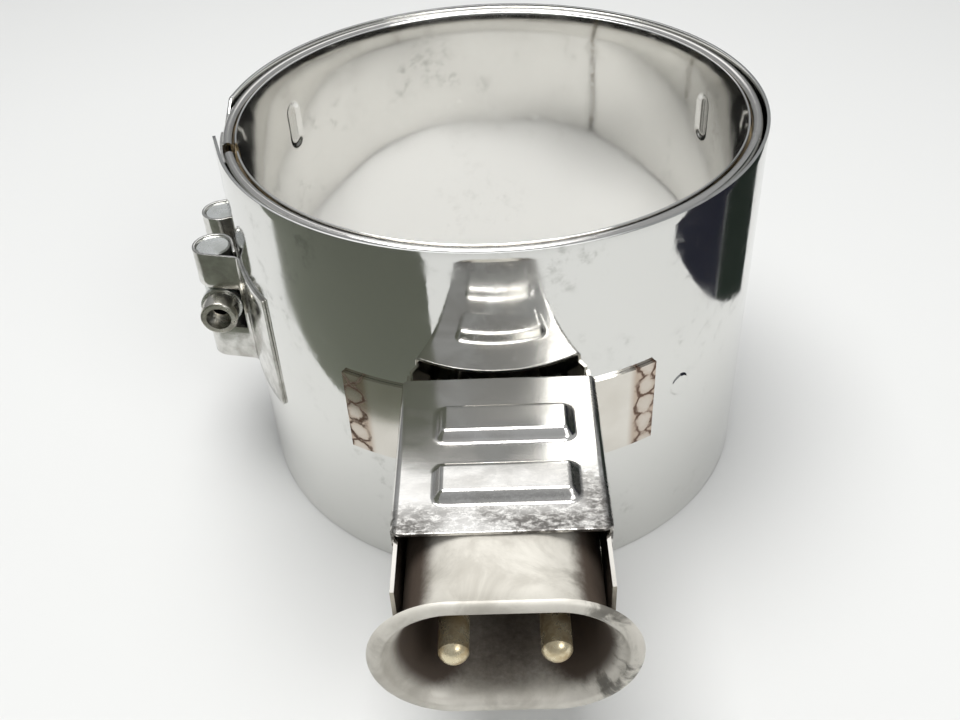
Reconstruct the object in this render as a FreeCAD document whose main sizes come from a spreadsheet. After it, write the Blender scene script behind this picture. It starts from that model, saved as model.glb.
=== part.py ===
"""Band heater with a screw clamp and a two-pin plug, as a parametric FreeCAD document.

The origin lies on the axis of the bore, halfway up the band. +Z runs along the bore, the plug
leaves the band along -Y and the clamp is at the left, near -X. Lengths are in millimetres and
angles in degrees, measured about Z from +X.
"""
import FreeCAD, Part
import math
import os
import re

import Sketcher
from FreeCAD import Placement, Rotation, Vector

# Driving dimensions: name, value, what it measures.
SIZES = [
    ("bore_radius", 65.0, "radius of the barrel that the band closes on"),
    ("band_width", 100.0, "height of the heater, rim to rim"),
    ("sheath_gauge", 0.6, "sheet of the inner sheath and of the casing"),
    ("mica_gauge", 0.6, "mica insulation sheets"),
    ("core_gauge", 0.6, "mica card that carries the ribbon"),
    ("ribbon_gauge", 0.2, "thickness of the resistance ribbon"),
    ("ribbon_width", 2.5, "width of the resistance ribbon"),
    ("ribbon_turns", 36, "turns of ribbon around the card"),
    ("layer_clearance", 0.1, "radial play between neighbouring layers"),
    ("sheath_inset", 0.3, "inner sheath ends this far below the casing rim"),
    ("lip_height", 3.0, "flared lip at each edge of the inner sheath"),
    ("lip_flare", 0.25, "outward flare of that lip"),
    ("edge_margin", 3.2, "mica stops this far short of each rim"),
    ("hem_radius", 1.3, "outer radius of the casing's rolled rims"),
    ("hem_leg", 1.0, "straight return leg of the rolled rims"),
    ("heater_gap_angle", 195.0, "where the heater is split"),
    ("heater_gap", 4.6, "width of that split"),
    ("lap_angle", 14.0, "arc of the casing tongue that laps the split"),
    ("lap_weld_angle", 2.4, "arc over which the tongue is welded to the casing"),
    ("dimple_angle", 65.0, "locating dimples, each side of the dimple centre line"),
    ("dimple_centre_angle", 87.5, "centre line of the two locating dimples"),
    ("dimple_rise", 32.0, "height of the locating dimples above mid band"),
    ("dimple_length", 12.0, "length of a locating dimple"),
    ("dimple_width", 4.0, "width of a locating dimple"),
    ("dimple_depth", 0.3, "depth of a locating dimple"),
    ("strap_gauge", 0.8, "sheet of the clamping strap"),
    ("strap_standoff", 0.7, "radial gap between casing and strap"),
    ("strap_overhang", 0.5, "strap stands this far past each rim of the heater"),
    ("clamp_angle", 183.0, "middle of the clamp"),
    ("strap_departure", 15.0, "each strap end goes straight this far from the clamp"),
    ("strap_tail", 12.0, "length of the straight strap ends"),
    ("rear_chamfer", 7.0, "corner chamfer of the rear strap end"),
    ("front_chamfer", 2.0, "corner chamfer of the front strap end"),
    ("bead_radius", 1.0, "rolled bead that stiffens a strap end behind its lug"),
    ("stud_angle", -51.0, "half-sheared pip in the strap"),
    ("stud_radius", 2.9, "radius of that pip"),
    ("stud_depth", 0.4, "depth of that pip"),
    ("clamp_rise", 2.2, "clamp screw above mid band"),
    ("lug_gauge", 0.8, "sheet of the looped lugs"),
    ("lug_height", 34.0, "height of the looped lugs"),
    ("lug_leg_angle", 17.0, "arc of strap that a lug is welded to"),
    ("lug_rise_angle", 60.0, "how steeply a lug leaves the strap"),
    ("lug_bend_radius", 3.0, "bend where a lug leaves the strap"),
    ("lug_straight", 0.3, "flat of a lug between the strap's bend and its own"),
    ("lug_lift", 0.6, "loop stands this far off the strap"),
    ("lug_return", 6.0, "straight return of the lug under its barrel"),
    ("lug_window_height", 13.0, "window in the loop for the screw"),
    ("barrel_radius", 4.6, "clamp barrels"),
    ("barrel_length", 33.0, "length of the clamp barrels"),
    ("barrel_clearance", 0.1, "running play of a barrel in its loop"),
    ("barrel_chamfer", 0.4, "chamfer at the barrel ends"),
    ("barrel_flat", 4.0, "axis of the front barrel to its spot face"),
    ("screw_radius", 3.0, "M6 clamp screw"),
    ("screw_length", 35.0, "screw under its head"),
    ("screw_clearance", 0.3, "play of the screw in the front barrel"),
    ("thread_clearance", 0.05, "running play of the screw in the rear barrel's thread"),
    ("head_radius", 5.0, "screw head"),
    ("head_height", 6.0, "screw head"),
    ("head_chamfer", 0.5, "edge of the screw head"),
    ("socket_width", 5.0, "across flats of the hexagon socket"),
    ("socket_depth", 3.0, "depth of the hexagon socket"),
    ("tip_chamfer", 0.8, "end of the screw"),
    ("washer_radius", 5.6, "washer under the screw head"),
    ("washer_gauge", 1.2, "washer under the screw head"),
    ("washer_clearance", 0.3, "play of the washer on the screw"),
    ("plug_rise", 2.4, "plug centre above mid band"),
    ("box_gauge", 0.8, "sheet of the terminal box"),
    ("box_clearance", 0.1, "play between the pieces of the terminal box"),
    ("box_gap", 1.3, "strap to the rear edge of the box"),
    ("box_length", 46.0, "depth of the box cover"),
    ("flange_depth", 15.2, "folded sides of the box cover"),
    ("fold_radius", 1.6, "outer radius of the folded edges"),
    ("corner_radius", 2.4, "front corners of the box cover"),
    ("rib_length", 30.0, "pressed ribs of the cover"),
    ("rib_width", 11.6, "pressed ribs of the cover"),
    ("rib_height", 2.2, "pressed ribs of the cover"),
    ("rib_slope", 40.0, "slope of the rib sides from upright"),
    ("rib_corner", 2.0, "corner radius of the ribs in plan"),
    ("rib_shift", 1.2, "ribs off the middle of the cover"),
    ("rib_inset", 15.4, "rear edge of the cover to the middle of the rear rib"),
    ("rib_spacing", 17.6, "rear rib to front rib"),
    ("wall_setback", 5.8, "box walls end this far behind the plug's mouth"),
    ("foot_height", 23.8, "feet of the box on the strap"),
    ("foot_rise", -1.9, "middle of the feet from the plug centre"),
    ("foot_end_angle", 31.5, "feet reach this far round the band from the plug"),
    ("foot_fillet", 1.6, "bend between a box wall and its foot"),
    ("lead_window_width", 40.0, "opening in strap and casing for the leads"),
    ("lead_window_height", 12.0, "opening in strap and casing for the leads"),
    ("shell_half_width", 20.0, "plug shell, outside"),
    ("shell_half_height", 14.6, "plug shell, outside"),
    ("shell_wall", 1.8, "plug shell wall"),
    ("plug_stand", 65.7, "strap to the mouth of the plug"),
    ("flare_length", 6.2, "length of the trumpet mouth"),
    ("lip_half_width", 26.3, "widest part of the mouth"),
    ("lip_half_height", 16.7, "widest part of the mouth"),
    ("lip_setback", 1.3, "widest part behind the mouth plane"),
    ("mouth_half_width", 23.2, "opening of the mouth"),
    ("mouth_half_height", 13.8, "opening of the mouth"),
    ("lip_fillet", 0.5, "rounding of the mouth's edges"),
    ("insulator_depth", 23.2, "mouth plane to the insulator"),
    ("insulator_length", 12.0, "ceramic insulator block"),
    ("insulator_clearance", 0.2, "play of the insulator in the shell"),
    ("pin_spacing", 19.6, "contact pin to contact pin"),
    ("pin_radius", 3.0, "contact pins"),
    ("pin_setback", 0.3, "pin tips behind the mouth plane"),
    ("dome_height", 2.0, "domed tips of the pins"),
    ("collar_radius", 4.2, "collar of a pin on the insulator"),
    ("collar_height", 1.5, "collar of a pin on the insulator"),
    ("tail_radius", 2.5, "threaded tail of a pin"),
    ("tail_spare", 2.5, "tail that stands past its nut"),
    ("pin_clearance", 0.15, "play of a tail in the insulator, washer and lead"),
    ("nut_width", 8.0, "across flats of the pin nuts"),
    ("nut_height", 4.0, "pin nuts"),
    ("pin_washer_radius", 5.0, "washers of the pins"),
    ("pin_washer_gauge", 1.0, "washers of the pins"),
    ("lead_gauge", 0.5, "nickel lead strips"),
    ("lead_width", 6.0, "nickel lead strips"),
    ("lead_bend_radius", 1.5, "bend of the leads"),
    ("lead_offset", 6.6, "lead strip outside its pin"),
    ("eyelet_radius", 4.8, "eyelet of a lead"),
    ("sleeve_length", 11.0, "insulating sleeve of a lead"),
    ("sleeve_thickness", 5.0, "insulating sleeve of a lead"),
    ("sleeve_height", 10.0, "insulating sleeve of a lead"),
    ("sleeve_clearance", 0.2, "play of a lead in its sleeve"),
    ("sleeve_setback", 0.5, "sleeve starts this far outside the mica"),
    ("rivet_radius", 1.5, "rivets of the terminal box"),
    ("rivet_head_radius", 2.9, "rivets of the terminal box"),
    ("rivet_head_height", 1.4, "rivets of the terminal box"),
    ("rivet_tail_radius", 2.4, "bucked end of the rivets"),
    ("rivet_tail_height", 1.0, "bucked end of the rivets"),
    ("rivet_clearance", 0.05, "play of the rivets in their holes"),
    ("rivet_setback", 5.0, "rivets behind the plug shell"),
    ("rivet_rise", 4.2, "rivets above the plug centre"),
]

# Sizes that follow from the driving ones.
DERIVED = [
    ("mica_inner_face", "bore_radius + sheath_gauge + layer_clearance"),
    ("ribbon_inner_face", "mica_inner_face + mica_gauge + layer_clearance"),
    ("core_inner_face", "ribbon_inner_face + ribbon_gauge + layer_clearance"),
    ("ribbon_outer_face", "core_inner_face + core_gauge + layer_clearance"),
    ("mica_outer_face", "ribbon_outer_face + ribbon_gauge + layer_clearance"),
    ("casing_inner", "mica_outer_face + mica_gauge + layer_clearance"),
    ("casing_outer", "casing_inner + sheath_gauge"),
    ("strap_inner", "casing_outer + strap_standoff"),
    ("strap_outer", "strap_inner + strap_gauge"),
    ("half_band", "band_width / 2"),
    ("half_sheath", "half_band - sheath_inset"),
    ("half_mica", "half_band - edge_margin"),
    ("half_strap", "half_band + strap_overhang"),
    ("heater_middle_angle", "heater_gap_angle - 180"),
    ("heater_arc", "360 - heater_gap / bore_radius * 180 / pi"),
    ("lap_start_angle", "heater_gap_angle + heater_gap / bore_radius * 90 / pi"),
    ("front_end_angle", "clamp_angle + strap_departure"),
    ("rear_end_angle", "clamp_angle - strap_departure"),
    ("barrel_stand", "lug_lift + lug_gauge + barrel_clearance + barrel_radius"),
    ("lug_loop_radius", "barrel_radius + barrel_clearance + lug_gauge / 2"),
    ("lug_climb", "barrel_stand - lug_gauge / 2 + lug_loop_radius * cos(lug_rise_angle * 1deg)"),
    ("lug_run", "(lug_climb - lug_bend_radius * (1 - cos(lug_rise_angle * 1deg))) / sin(lug_rise_angle * 1deg)"),
    ("lug_reach", "(lug_loop_radius + lug_bend_radius) * sin(lug_rise_angle * 1deg)"),
    ("barrel_ahead", "lug_straight + lug_reach + lug_run * cos(lug_rise_angle * 1deg)"),
    ("barrel_orbit", "strap_outer + barrel_stand"),
    ("clamp_radius", "barrel_orbit * cos(strap_departure * 1deg) + barrel_ahead * sin(strap_departure * 1deg)"),
    ("barrel_side", "barrel_orbit * sin(strap_departure * 1deg) - barrel_ahead * cos(strap_departure * 1deg)"),
    ("washer_seat", "barrel_side + barrel_flat"),
    ("head_seat", "washer_seat + washer_gauge"),
    ("wall_inner", "shell_half_width + box_clearance"),
    ("wall_outer", "wall_inner + box_gauge"),
    ("cover_inner", "wall_outer + box_clearance"),
    ("cover_half_width", "cover_inner + box_gauge"),
    ("wall_half_height", "shell_half_height + box_clearance"),
    ("cover_top", "wall_half_height + box_clearance + box_gauge"),
    ("foot_radius", "strap_outer + box_clearance"),
    ("wall_back", "sqrt(pow(foot_radius + box_gauge / 2; 2) - pow(wall_inner; 2))"),
    ("foot_start_angle", "asin(wall_inner / (foot_radius + box_gauge)) / 1deg"),
    ("plug_reach", "strap_outer + plug_stand"),
    ("box_back", "strap_outer + box_gap"),
    ("rear_rib", "box_back + rib_inset"),
    ("wall_reach", "plug_reach - wall_setback"),
    ("shell_inner_width", "shell_half_width - shell_wall"),
    ("shell_inner_height", "shell_half_height - shell_wall"),
    ("insulator_front", "plug_reach - insulator_depth"),
    ("insulator_rear", "insulator_front - insulator_length"),
    ("rivet_reach", "insulator_rear - rivet_setback"),
    ("eyelet_front", "insulator_rear - pin_washer_gauge"),
    ("eyelet_rear", "eyelet_front - lead_gauge"),
    ("nut_rear", "eyelet_rear - nut_height"),
    ("pin_tip", "plug_reach - pin_setback"),
    ("pin_offset", "pin_spacing / 2"),
    ("tail_hole", "tail_radius + pin_clearance"),
    ("lead_line", "pin_offset + lead_offset"),
]

doc = FreeCAD.newDocument("BandHeater")
sheet = doc.addObject("Spreadsheet::Sheet", "Sizes")
ALIASES = {row[0] for row in SIZES + DERIVED}
nodes = []


def bound(text):
    """Expression text with every alias written as a reference to the sheet."""
    return re.sub(r"[a-z][a-z_]*", lambda word: named(word.group()), str(text))


def named(word):
    return "Sizes." + word if word in ALIASES else word


def fill_sheet():
    for row, (alias, value, note) in enumerate(SIZES, start=1):
        sheet.set(f"A{row}", note)
        sheet.set(f"B{row}", str(value))
        sheet.setAlias(f"B{row}", alias)
    for row, (alias, formula) in enumerate(DERIVED, start=len(SIZES) + 2):
        sheet.set(f"B{row}", "=" + formula)
        sheet.setAlias(f"B{row}", alias)
    doc.recompute()


def number(text):
    """Value of an expression at the present sizes."""
    result = sheet.evalExpression(bound(text))
    return float(getattr(result, "Value", result))


def drive(item, **paths):
    """Bind properties to expressions; a double underscore stands for a dot."""
    for path, text in paths.items():
        item.setExpression(path.replace("__", "."), bound(text))


def cosine(angle):
    return f"cos(({angle}) * 1deg)"


def sine(angle):
    return f"sin(({angle}) * 1deg)"


def polar(radius, angle, ahead="0"):
    """Point at a radius and angle about Z, then moved along the tangent."""
    x = f"({radius}) * {cosine(angle)} - ({ahead}) * {sine(angle)}"
    y = f"({radius}) * {sine(angle)} + ({ahead}) * {cosine(angle)}"
    return x, y


# ---------------------------------------------------------------- bodies and sketches

def new_body(label):
    body = doc.addObject("PartDesign::Body", label)
    body.Label = label
    return body


def sub_part(item):
    """Register an object as one physical piece of the heater."""
    nodes.append(item)
    return item


def place(item, x="0", y="0", z="0", turn="0"):
    item.Placement = Placement(Vector(), Rotation(Vector(0, 0, 1), 1))
    drive(item, Placement__Base__x=x, Placement__Base__y=y, Placement__Base__z=z)
    drive(item, Placement__Rotation__Angle=turn)


def new_sketch(body, name, role, spin="0", lift="0"):
    """Sketch on an origin plane, spun about the plane's upright and lifted along its normal."""
    plane = next(item for item in body.Origin.OriginFeatures if item.Role == role)
    sketch = body.newObject("Sketcher::SketchObject", name)
    sketch.AttachmentSupport = [(plane, "")]
    sketch.MapMode = "FlatFace"
    sketch.AttachmentOffset = Placement(Vector(), Rotation(Vector(0, 1, 0), 1))
    drive(sketch, AttachmentOffset__Rotation__Angle=spin)
    drive(sketch, AttachmentOffset__Base__x=f"({lift}) * {sine(spin)}")
    drive(sketch, AttachmentOffset__Base__z=f"({lift}) * {cosine(spin)}")
    return sketch


def hold_level(sketch, edge, end, kind, text):
    """Fix one coordinate of an edge's point, its kind being DistanceX or DistanceY."""
    if text == "0":
        axis = -2 if kind == "DistanceX" else -1
        sketch.addConstraint(Sketcher.Constraint("PointOnObject", edge, end, axis))
        return
    index = sketch.addConstraint(Sketcher.Constraint(kind, -1, 1, edge, end, number(text)))
    sketch.setExpression(f"Constraints[{index}]", bound(text))


def hold_point(sketch, edge, end, x, y):
    hold_level(sketch, edge, end, "DistanceX", x)
    hold_level(sketch, edge, end, "DistanceY", y)


def outline(sketch, corners, arcs=None):
    """Closed outline through corners; arcs maps an edge to (centre x, centre y, radius, way).

    way is 1 where the arc runs counter-clockwise and -1 where it runs clockwise.
    """
    arcs = arcs or {}
    places = [Vector(number(x), number(y), 0) for x, y in corners]
    first = sketch.GeometryCount
    tails = []
    for index, start in enumerate(places):
        end = places[(index + 1) % len(places)]
        if index not in arcs:
            sketch.addGeometry(Part.LineSegment(start, end))
            tails.append((1, 2))
            continue
        x, y, radius, way = arcs[index]
        centre = Vector(number(x), number(y), 0)
        circle = Part.Circle(centre, Vector(0, 0, 1), number(radius))
        begin, finish = (start, end) if way > 0 else (end, start)
        angles = [math.atan2(point.y - centre.y, point.x - centre.x) for point in (begin, finish)]
        if angles[1] <= angles[0]:
            angles[1] += 2 * math.pi
        sketch.addGeometry(Part.ArcOfCircle(circle, angles[0], angles[1]))
        tails.append((1, 2) if way > 0 else (2, 1))
    for index, (x, y) in enumerate(corners):
        hold_point(sketch, first + index, tails[index][0], x, y)
        after = (index + 1) % len(corners)
        link = (first + index, tails[index][1], first + after, tails[after][0])
        sketch.addConstraint(Sketcher.Constraint("Coincident", *link))
    for index, (x, y, _, _) in arcs.items():
        chord = places[(index + 1) % len(places)] - places[index]
        kind, text = ("DistanceY", y) if abs(chord.x) >= abs(chord.y) else ("DistanceX", x)
        hold_level(sketch, first + index, 3, kind, text)


def rectangle(sketch, low_x, high_x, low_y, high_y):
    outline(sketch, [(low_x, low_y), (high_x, low_y), (high_x, high_y), (low_x, high_y)])


def circle(sketch, x, y, radius):
    centre = Vector(number(x), number(y), 0)
    edge = sketch.addGeometry(Part.Circle(centre, Vector(0, 0, 1), number(radius)))
    hold_point(sketch, edge, 3, x, y)
    size = sketch.addConstraint(Sketcher.Constraint("Radius", edge, number(radius)))
    sketch.setExpression(f"Constraints[{size}]", bound(radius))


def hexagon(sketch, across_flats):
    reach = f"({across_flats}) / sqrt(3)"
    outline(sketch, [polar(reach, 60 * corner + 30) for corner in range(6)])


def stadium(sketch, half_width, half_height, x="0", y="0"):
    """Slot outline with round ends, longer along the sketch's x axis."""
    left = f"{x} - (({half_width}) - ({half_height}))"
    right = f"{x} + (({half_width}) - ({half_height}))"
    low = f"{y} - ({half_height})"
    high = f"{y} + ({half_height})"
    corners = [(left, low), (right, low), (right, high), (left, high)]
    ends = {1: (right, y, half_height, 1), 3: (left, y, half_height, 1)}
    outline(sketch, corners, ends)


def rounded_rectangle(sketch, half_width, half_height, radius, x="0", y="0"):
    """Rectangle with round corners, counter-clockwise from the lower left."""
    corners = []
    arcs = {}
    sides = [(-1, -1, True), (1, -1, False), (1, 1, True), (-1, 1, False)]
    for side_x, side_y, upright_first in sides:
        edge_x = f"{x} + {side_x} * ({half_width})"
        edge_y = f"{y} + {side_y} * ({half_height})"
        pull_x = f"{x} + {side_x} * (({half_width}) - ({radius}))"
        pull_y = f"{y} + {side_y} * (({half_height}) - ({radius}))"
        pair = [(edge_x, pull_y), (pull_x, edge_y)]
        arcs[len(corners)] = (pull_x, pull_y, radius, 1)
        corners += pair if upright_first else pair[::-1]
    outline(sketch, corners, arcs)


# ---------------------------------------------------------------- features

def pad(body, sketch, length, both_ways=False, slope=None):
    feature = body.newObject("PartDesign::Pad", sketch.Name + "_pad")
    feature.Profile = sketch
    feature.SideType = "Symmetric" if both_ways else "One side"
    drive(feature, Length=length)
    if slope:
        drive(feature, TaperAngle=f"-({slope})")
    sketch.Visibility = False
    return feature


def pocket(body, sketch, length=None, forward=True, both_ways=False, slope=None):
    """Cut along the sketch normal, or against it when forward is false."""
    feature = body.newObject("PartDesign::Pocket", sketch.Name + "_pocket")
    feature.Profile = sketch
    feature.Reversed = forward
    feature.SideType = "Symmetric" if both_ways else "One side"
    if length is None:
        feature.Type = "ThroughAll"
    else:
        drive(feature, Length=length)
    if slope:
        drive(feature, TaperAngle=f"-({slope})")
    return feature


def revolve(body, sketch, angle="360", axis="V_Axis"):
    """Turn a profile about a sketch axis, evenly to both sides of its plane."""
    feature = body.newObject("PartDesign::Revolution", sketch.Name + "_turn")
    feature.Profile = sketch
    feature.ReferenceAxis = (sketch, [axis])
    feature.Midplane = True
    drive(feature, Angle=angle)
    return feature


def loft(body, kind, sections):
    feature = body.newObject("PartDesign::" + kind, sections[0].Name + "_loft")
    feature.Profile = sections[0]
    feature.Sections = sections[1:]
    feature.Ruled = True
    return feature


def dress(body, kind, size, wanted):
    """Fillet or chamfer the edges of the body's tip whose shape passes a test."""
    doc.recompute()
    base = body.Tip
    chosen = [f"Edge{index}" for index, edge in enumerate(base.Shape.Edges, start=1) if wanted(edge)]
    feature = body.newObject("PartDesign::" + kind, f"{body.Name}_{kind.lower()}")
    feature.Base = (base, chosen)
    drive(feature, **{"Radius" if kind == "Fillet" else "Size": size})
    return feature


def removes(body, sketch, **options):
    """Cut a pocket and make sure that it took material away."""
    doc.recompute()
    before = body.Shape.Volume
    pocket(body, sketch, **options)
    doc.recompute()
    if body.Shape.Volume >= before:
        raise RuntimeError(f"{sketch.Name} cuts nothing from {body.Label}")


def turned_part(label, corners, arcs=None):
    """Body of revolution about its own Y axis from an outline of (radius, y) corners."""
    body = new_body(label)
    profile = new_sketch(body, label + "_profile", "XY_Plane")
    outline(profile, corners, arcs)
    revolve(body, profile)
    return body


def turned_ring(label, inner, outer, low, high):
    corners = [(inner, low), (outer, low), (outer, high), (inner, high)]
    return turned_part(label, corners)


def mirrored(label, source, normal=("1", "0")):
    """Mirror image of a piece in an upright plane through the band axis."""
    twin = doc.addObject("Part::Mirroring", label)
    twin.Label = label
    twin.Source = source
    twin.Normal = Vector(1, 0, 0)
    drive(twin, Normal__x=normal[0], Normal__y=normal[1])
    return twin


def group(label, members):
    """Identical fasteners as one sub-part of separate solids."""
    compound = doc.addObject("Part::Compound", label)
    compound.Label = label
    compound.Links = members
    return sub_part(compound)


# ---------------------------------------------------------------- heater layers

def layer(label, inner, gauge, half_height, window=False):
    """Open ring of sheet, split at the heater gap."""
    body = new_body(label)
    profile = new_sketch(body, label + "_profile", "XZ_Plane", spin="heater_middle_angle")
    rectangle(profile, inner, f"{inner} + {gauge}", f"-{half_height}", half_height)
    revolve(body, profile, "heater_arc")
    if window:
        cut_lead_window(body)
    return sub_part(body)


def cut_lead_window(body):
    """Opening towards the plug, through which both leads pass."""
    window = new_sketch(body, body.Label + "_window", "XZ_Plane")
    low = "plug_rise - lead_window_height / 2"
    high = "plug_rise + lead_window_height / 2"
    rectangle(window, "-lead_window_width / 2", "lead_window_width / 2", low, high)
    removes(body, window)


def inner_sheath():
    """Bore sheet: straight wall with a flared lip at each edge and two locating dimples."""
    body = new_body("inner_sheath")
    profile = new_sketch(body, "sheath_profile", "XZ_Plane", spin="heater_middle_angle")
    inner = "bore_radius"
    outer = "bore_radius + sheath_gauge"
    straight = "half_sheath - lip_height"
    outline(profile, [
        (inner, f"-({straight})"),
        (f"{inner} + lip_flare", "-half_sheath"),
        (f"{outer} + lip_flare", "-half_sheath"),
        (outer, f"-({straight})"),
        (outer, straight),
        (f"{outer} + lip_flare", "half_sheath"),
        (f"{inner} + lip_flare", "half_sheath"),
        (inner, straight),
    ])
    revolve(body, profile, "heater_arc")
    for name, side in (("left", 1), ("right", -1)):
        angle = f"dimple_centre_angle + {side} * dimple_angle"
        mark = new_sketch(body, name + "_dimple", "YZ_Plane", spin=angle)
        half_width = "dimple_width / 2"
        low = "dimple_rise - dimple_length / 2 + dimple_width / 2"
        high = "dimple_rise + dimple_length / 2 - dimple_width / 2"
        corners = [(f"-{half_width}", low), (half_width, low), (half_width, high), (f"-{half_width}", high)]
        ends = {0: ("0", low, half_width, 1), 2: ("0", high, half_width, 1)}
        outline(mark, corners, ends)
        removes(body, mark, length="bore_radius + dimple_depth")
    return sub_part(body)


def outer_casing():
    """Casing with rolled rims, a lead window and a tongue that laps the split."""
    body = new_body("outer_casing")
    profile = new_sketch(body, "casing_profile", "XZ_Plane", spin="heater_middle_angle")
    root = "half_band - hem_radius"
    hem_face = "casing_outer - 2 * hem_radius"
    leg = f"{root} - hem_leg"
    fold = "hem_radius * tan(22.5 * 1deg)"
    half_fold = f"{root} + {fold}"
    upper = [
        ("casing_outer", half_fold),
        (f"casing_outer - hem_radius + {fold}", "half_band"),
        (f"casing_outer - hem_radius - {fold}", "half_band"),
        (hem_face, half_fold),
        (hem_face, leg),
        (f"{hem_face} + sheath_gauge", leg),
        (f"{hem_face} + sheath_gauge", root),
        ("casing_outer - hem_radius", "half_band - sheath_gauge"),
        ("casing_inner", root),
    ]
    lower = [(x, f"-({y})") for x, y in reversed(upper)]
    outline(profile, upper + lower)
    revolve(body, profile, "heater_arc")
    cut_lead_window(body)
    lap_middle = "lap_start_angle + lap_weld_angle - lap_angle / 2"
    tongue = new_sketch(body, "lap_tongue", "XZ_Plane", spin=lap_middle)
    lap_inner = "casing_outer + strap_standoff - layer_clearance / 2 - sheath_gauge"
    lap_outer = f"{lap_inner} + sheath_gauge"
    rectangle(tongue, lap_inner, lap_outer, f"-({root})", root)
    revolve(body, tongue, "lap_angle")
    weld_middle = "lap_start_angle + lap_weld_angle / 2"
    weld = new_sketch(body, "lap_weld", "XZ_Plane", spin=weld_middle)
    rectangle(weld, "casing_inner + sheath_gauge / 2", lap_outer, f"-({root})", root)
    revolve(body, weld, "lap_weld_angle - 0.1")
    return sub_part(body)


def resistance_ribbon():
    """Flat ribbon wound round the mica card: strips up one face, over the edge, down the other."""
    turns = int(number("ribbon_turns"))
    gauge = number("ribbon_gauge")
    width = number("ribbon_width")
    half_card = number("half_mica")
    inner = number("ribbon_inner_face")
    outer = number("ribbon_outer_face")
    pitch = number("heater_arc") / turns
    start = number("heater_gap_angle - 180 - heater_arc / 2") + pitch / 4
    link = math.radians(pitch / 2) * outer + width
    upright = Vector(0, 0, 1)
    bars = []
    for turn in range(turns):
        for step, radius in enumerate((inner, outer)):
            angle = start + (turn + step / 2) * pitch
            bar = Part.makeBox(gauge, width, 2 * (half_card + gauge), Vector(radius, -width / 2, -half_card - gauge))
            bars.append(bar.rotated(Vector(), upright, angle))
            if turn == turns - 1 and step == 1:
                break
            level = half_card if step == 0 else -half_card - gauge
            across = Part.makeBox(outer + gauge - inner, link, gauge, Vector(inner, -link / 2, level))
            bars.append(across.rotated(Vector(), upright, angle + pitch / 4))
    ribbon = doc.addObject("Part::Feature", "resistance_ribbon")
    ribbon.Label = "resistance_ribbon"
    ribbon.Shape = bars[0].multiFuse(bars[1:])
    return sub_part(ribbon)


# ---------------------------------------------------------------- strap and clamp

def clamp_strap():
    """Full-width strap: round over the heater, straight and stiffened at both ends."""
    body = new_body("clamp_strap")
    profile = new_sketch(body, "strap_profile", "XY_Plane")
    front = "front_end_angle"
    rear = "rear_end_angle"
    outline(profile, [
        polar("strap_outer", front),
        polar("strap_outer", rear),
        polar("strap_outer", rear, "strap_tail"),
        polar("strap_inner", rear, "strap_tail"),
        polar("strap_inner", rear),
        polar("strap_inner", front),
        polar("strap_inner", front, "-strap_tail"),
        polar("strap_outer", front, "-strap_tail"),
    ], {0: ("0", "0", "strap_outer", 1), 4: ("0", "0", "strap_inner", -1)})
    pad(body, profile, "2 * half_strap", both_ways=True)
    cut_lead_window(body)
    pip = new_sketch(body, "strap_pip", "YZ_Plane", spin="stud_angle", lift="strap_outer - stud_depth")
    circle(pip, "0", "0", "stud_radius")
    removes(body, pip)
    beads = new_sketch(body, "end_beads", "XY_Plane", lift="clamp_rise")
    for angle, ahead in ((front, "-strap_tail"), (rear, "strap_tail")):
        x, y = polar("strap_inner", angle, ahead)
        circle(beads, x, y, "bead_radius")
    pad(body, beads, "lug_height", both_ways=True)
    for end, angle, ahead, size in (("rear", rear, "strap_tail", "rear_chamfer"),
                                    ("front", front, "-strap_tail", "front_chamfer")):
        x, y = (number(text) for text in polar("strap_outer - strap_gauge / 2", angle, ahead))
        corner = Vector(x, y, number("half_strap"))
        below = Vector(x, y, -number("half_strap"))
        reach = number("strap_gauge")

        def at_corner(edge, corner=corner, below=below, reach=reach):
            middle = edge.CenterOfMass
            near = min(middle.distanceToPoint(corner), middle.distanceToPoint(below))
            return near < reach / 2 and edge.Length < 2 * reach

        dress(body, "Chamfer", size, at_corner)
    return sub_part(body)


def sheet_section(start, heading, moves, gauge):
    """Plan of a bent strip: straight runs and bends of one thickness, end to end.

    Each move is ("run", length) or ("bend", radius, turn), where the radius is that of the
    strip's middle and a positive turn is to the left.
    """
    pieces = []
    place_now = Vector(start)
    for move in moves:
        ahead = Vector(math.cos(heading), math.sin(heading), 0)
        left = Vector(-ahead.y, ahead.x, 0)
        if move[0] == "run":
            end = place_now + ahead * move[1]
            ring = [place_now + left * gauge / 2, place_now - left * gauge / 2]
            ring += [end - left * gauge / 2, end + left * gauge / 2]
            pieces.append(Part.Face(Part.makePolygon(ring + ring[:1])))
            place_now = end
            continue
        radius, turn = move[1], math.radians(move[2])
        side = 1 if turn > 0 else -1
        centre = place_now + left * side * radius
        spoke = place_now - centre
        begin = math.atan2(spoke.y, spoke.x)
        low, high = sorted((begin, begin + turn))
        edges = []
        for reach in (radius + gauge / 2, radius - gauge / 2):
            round_edge = Part.Circle(centre, Vector(0, 0, 1), reach)
            edges.append(Part.ArcOfCircle(round_edge, low, high).toShape())
        outer, inner = edges
        caps = [
            Part.makeLine(outer.firstVertex().Point, inner.firstVertex().Point),
            Part.makeLine(outer.lastVertex().Point, inner.lastVertex().Point),
        ]
        pieces.append(Part.Face(Part.Wire(Part.__sortEdges__(edges + caps))))
        reach = Vector(math.cos(begin + turn), math.sin(begin + turn), 0) * radius
        place_now = centre + reach
        heading += turn
    return pieces[0].multiFuse(pieces[1:]).removeSplitter()


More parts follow.
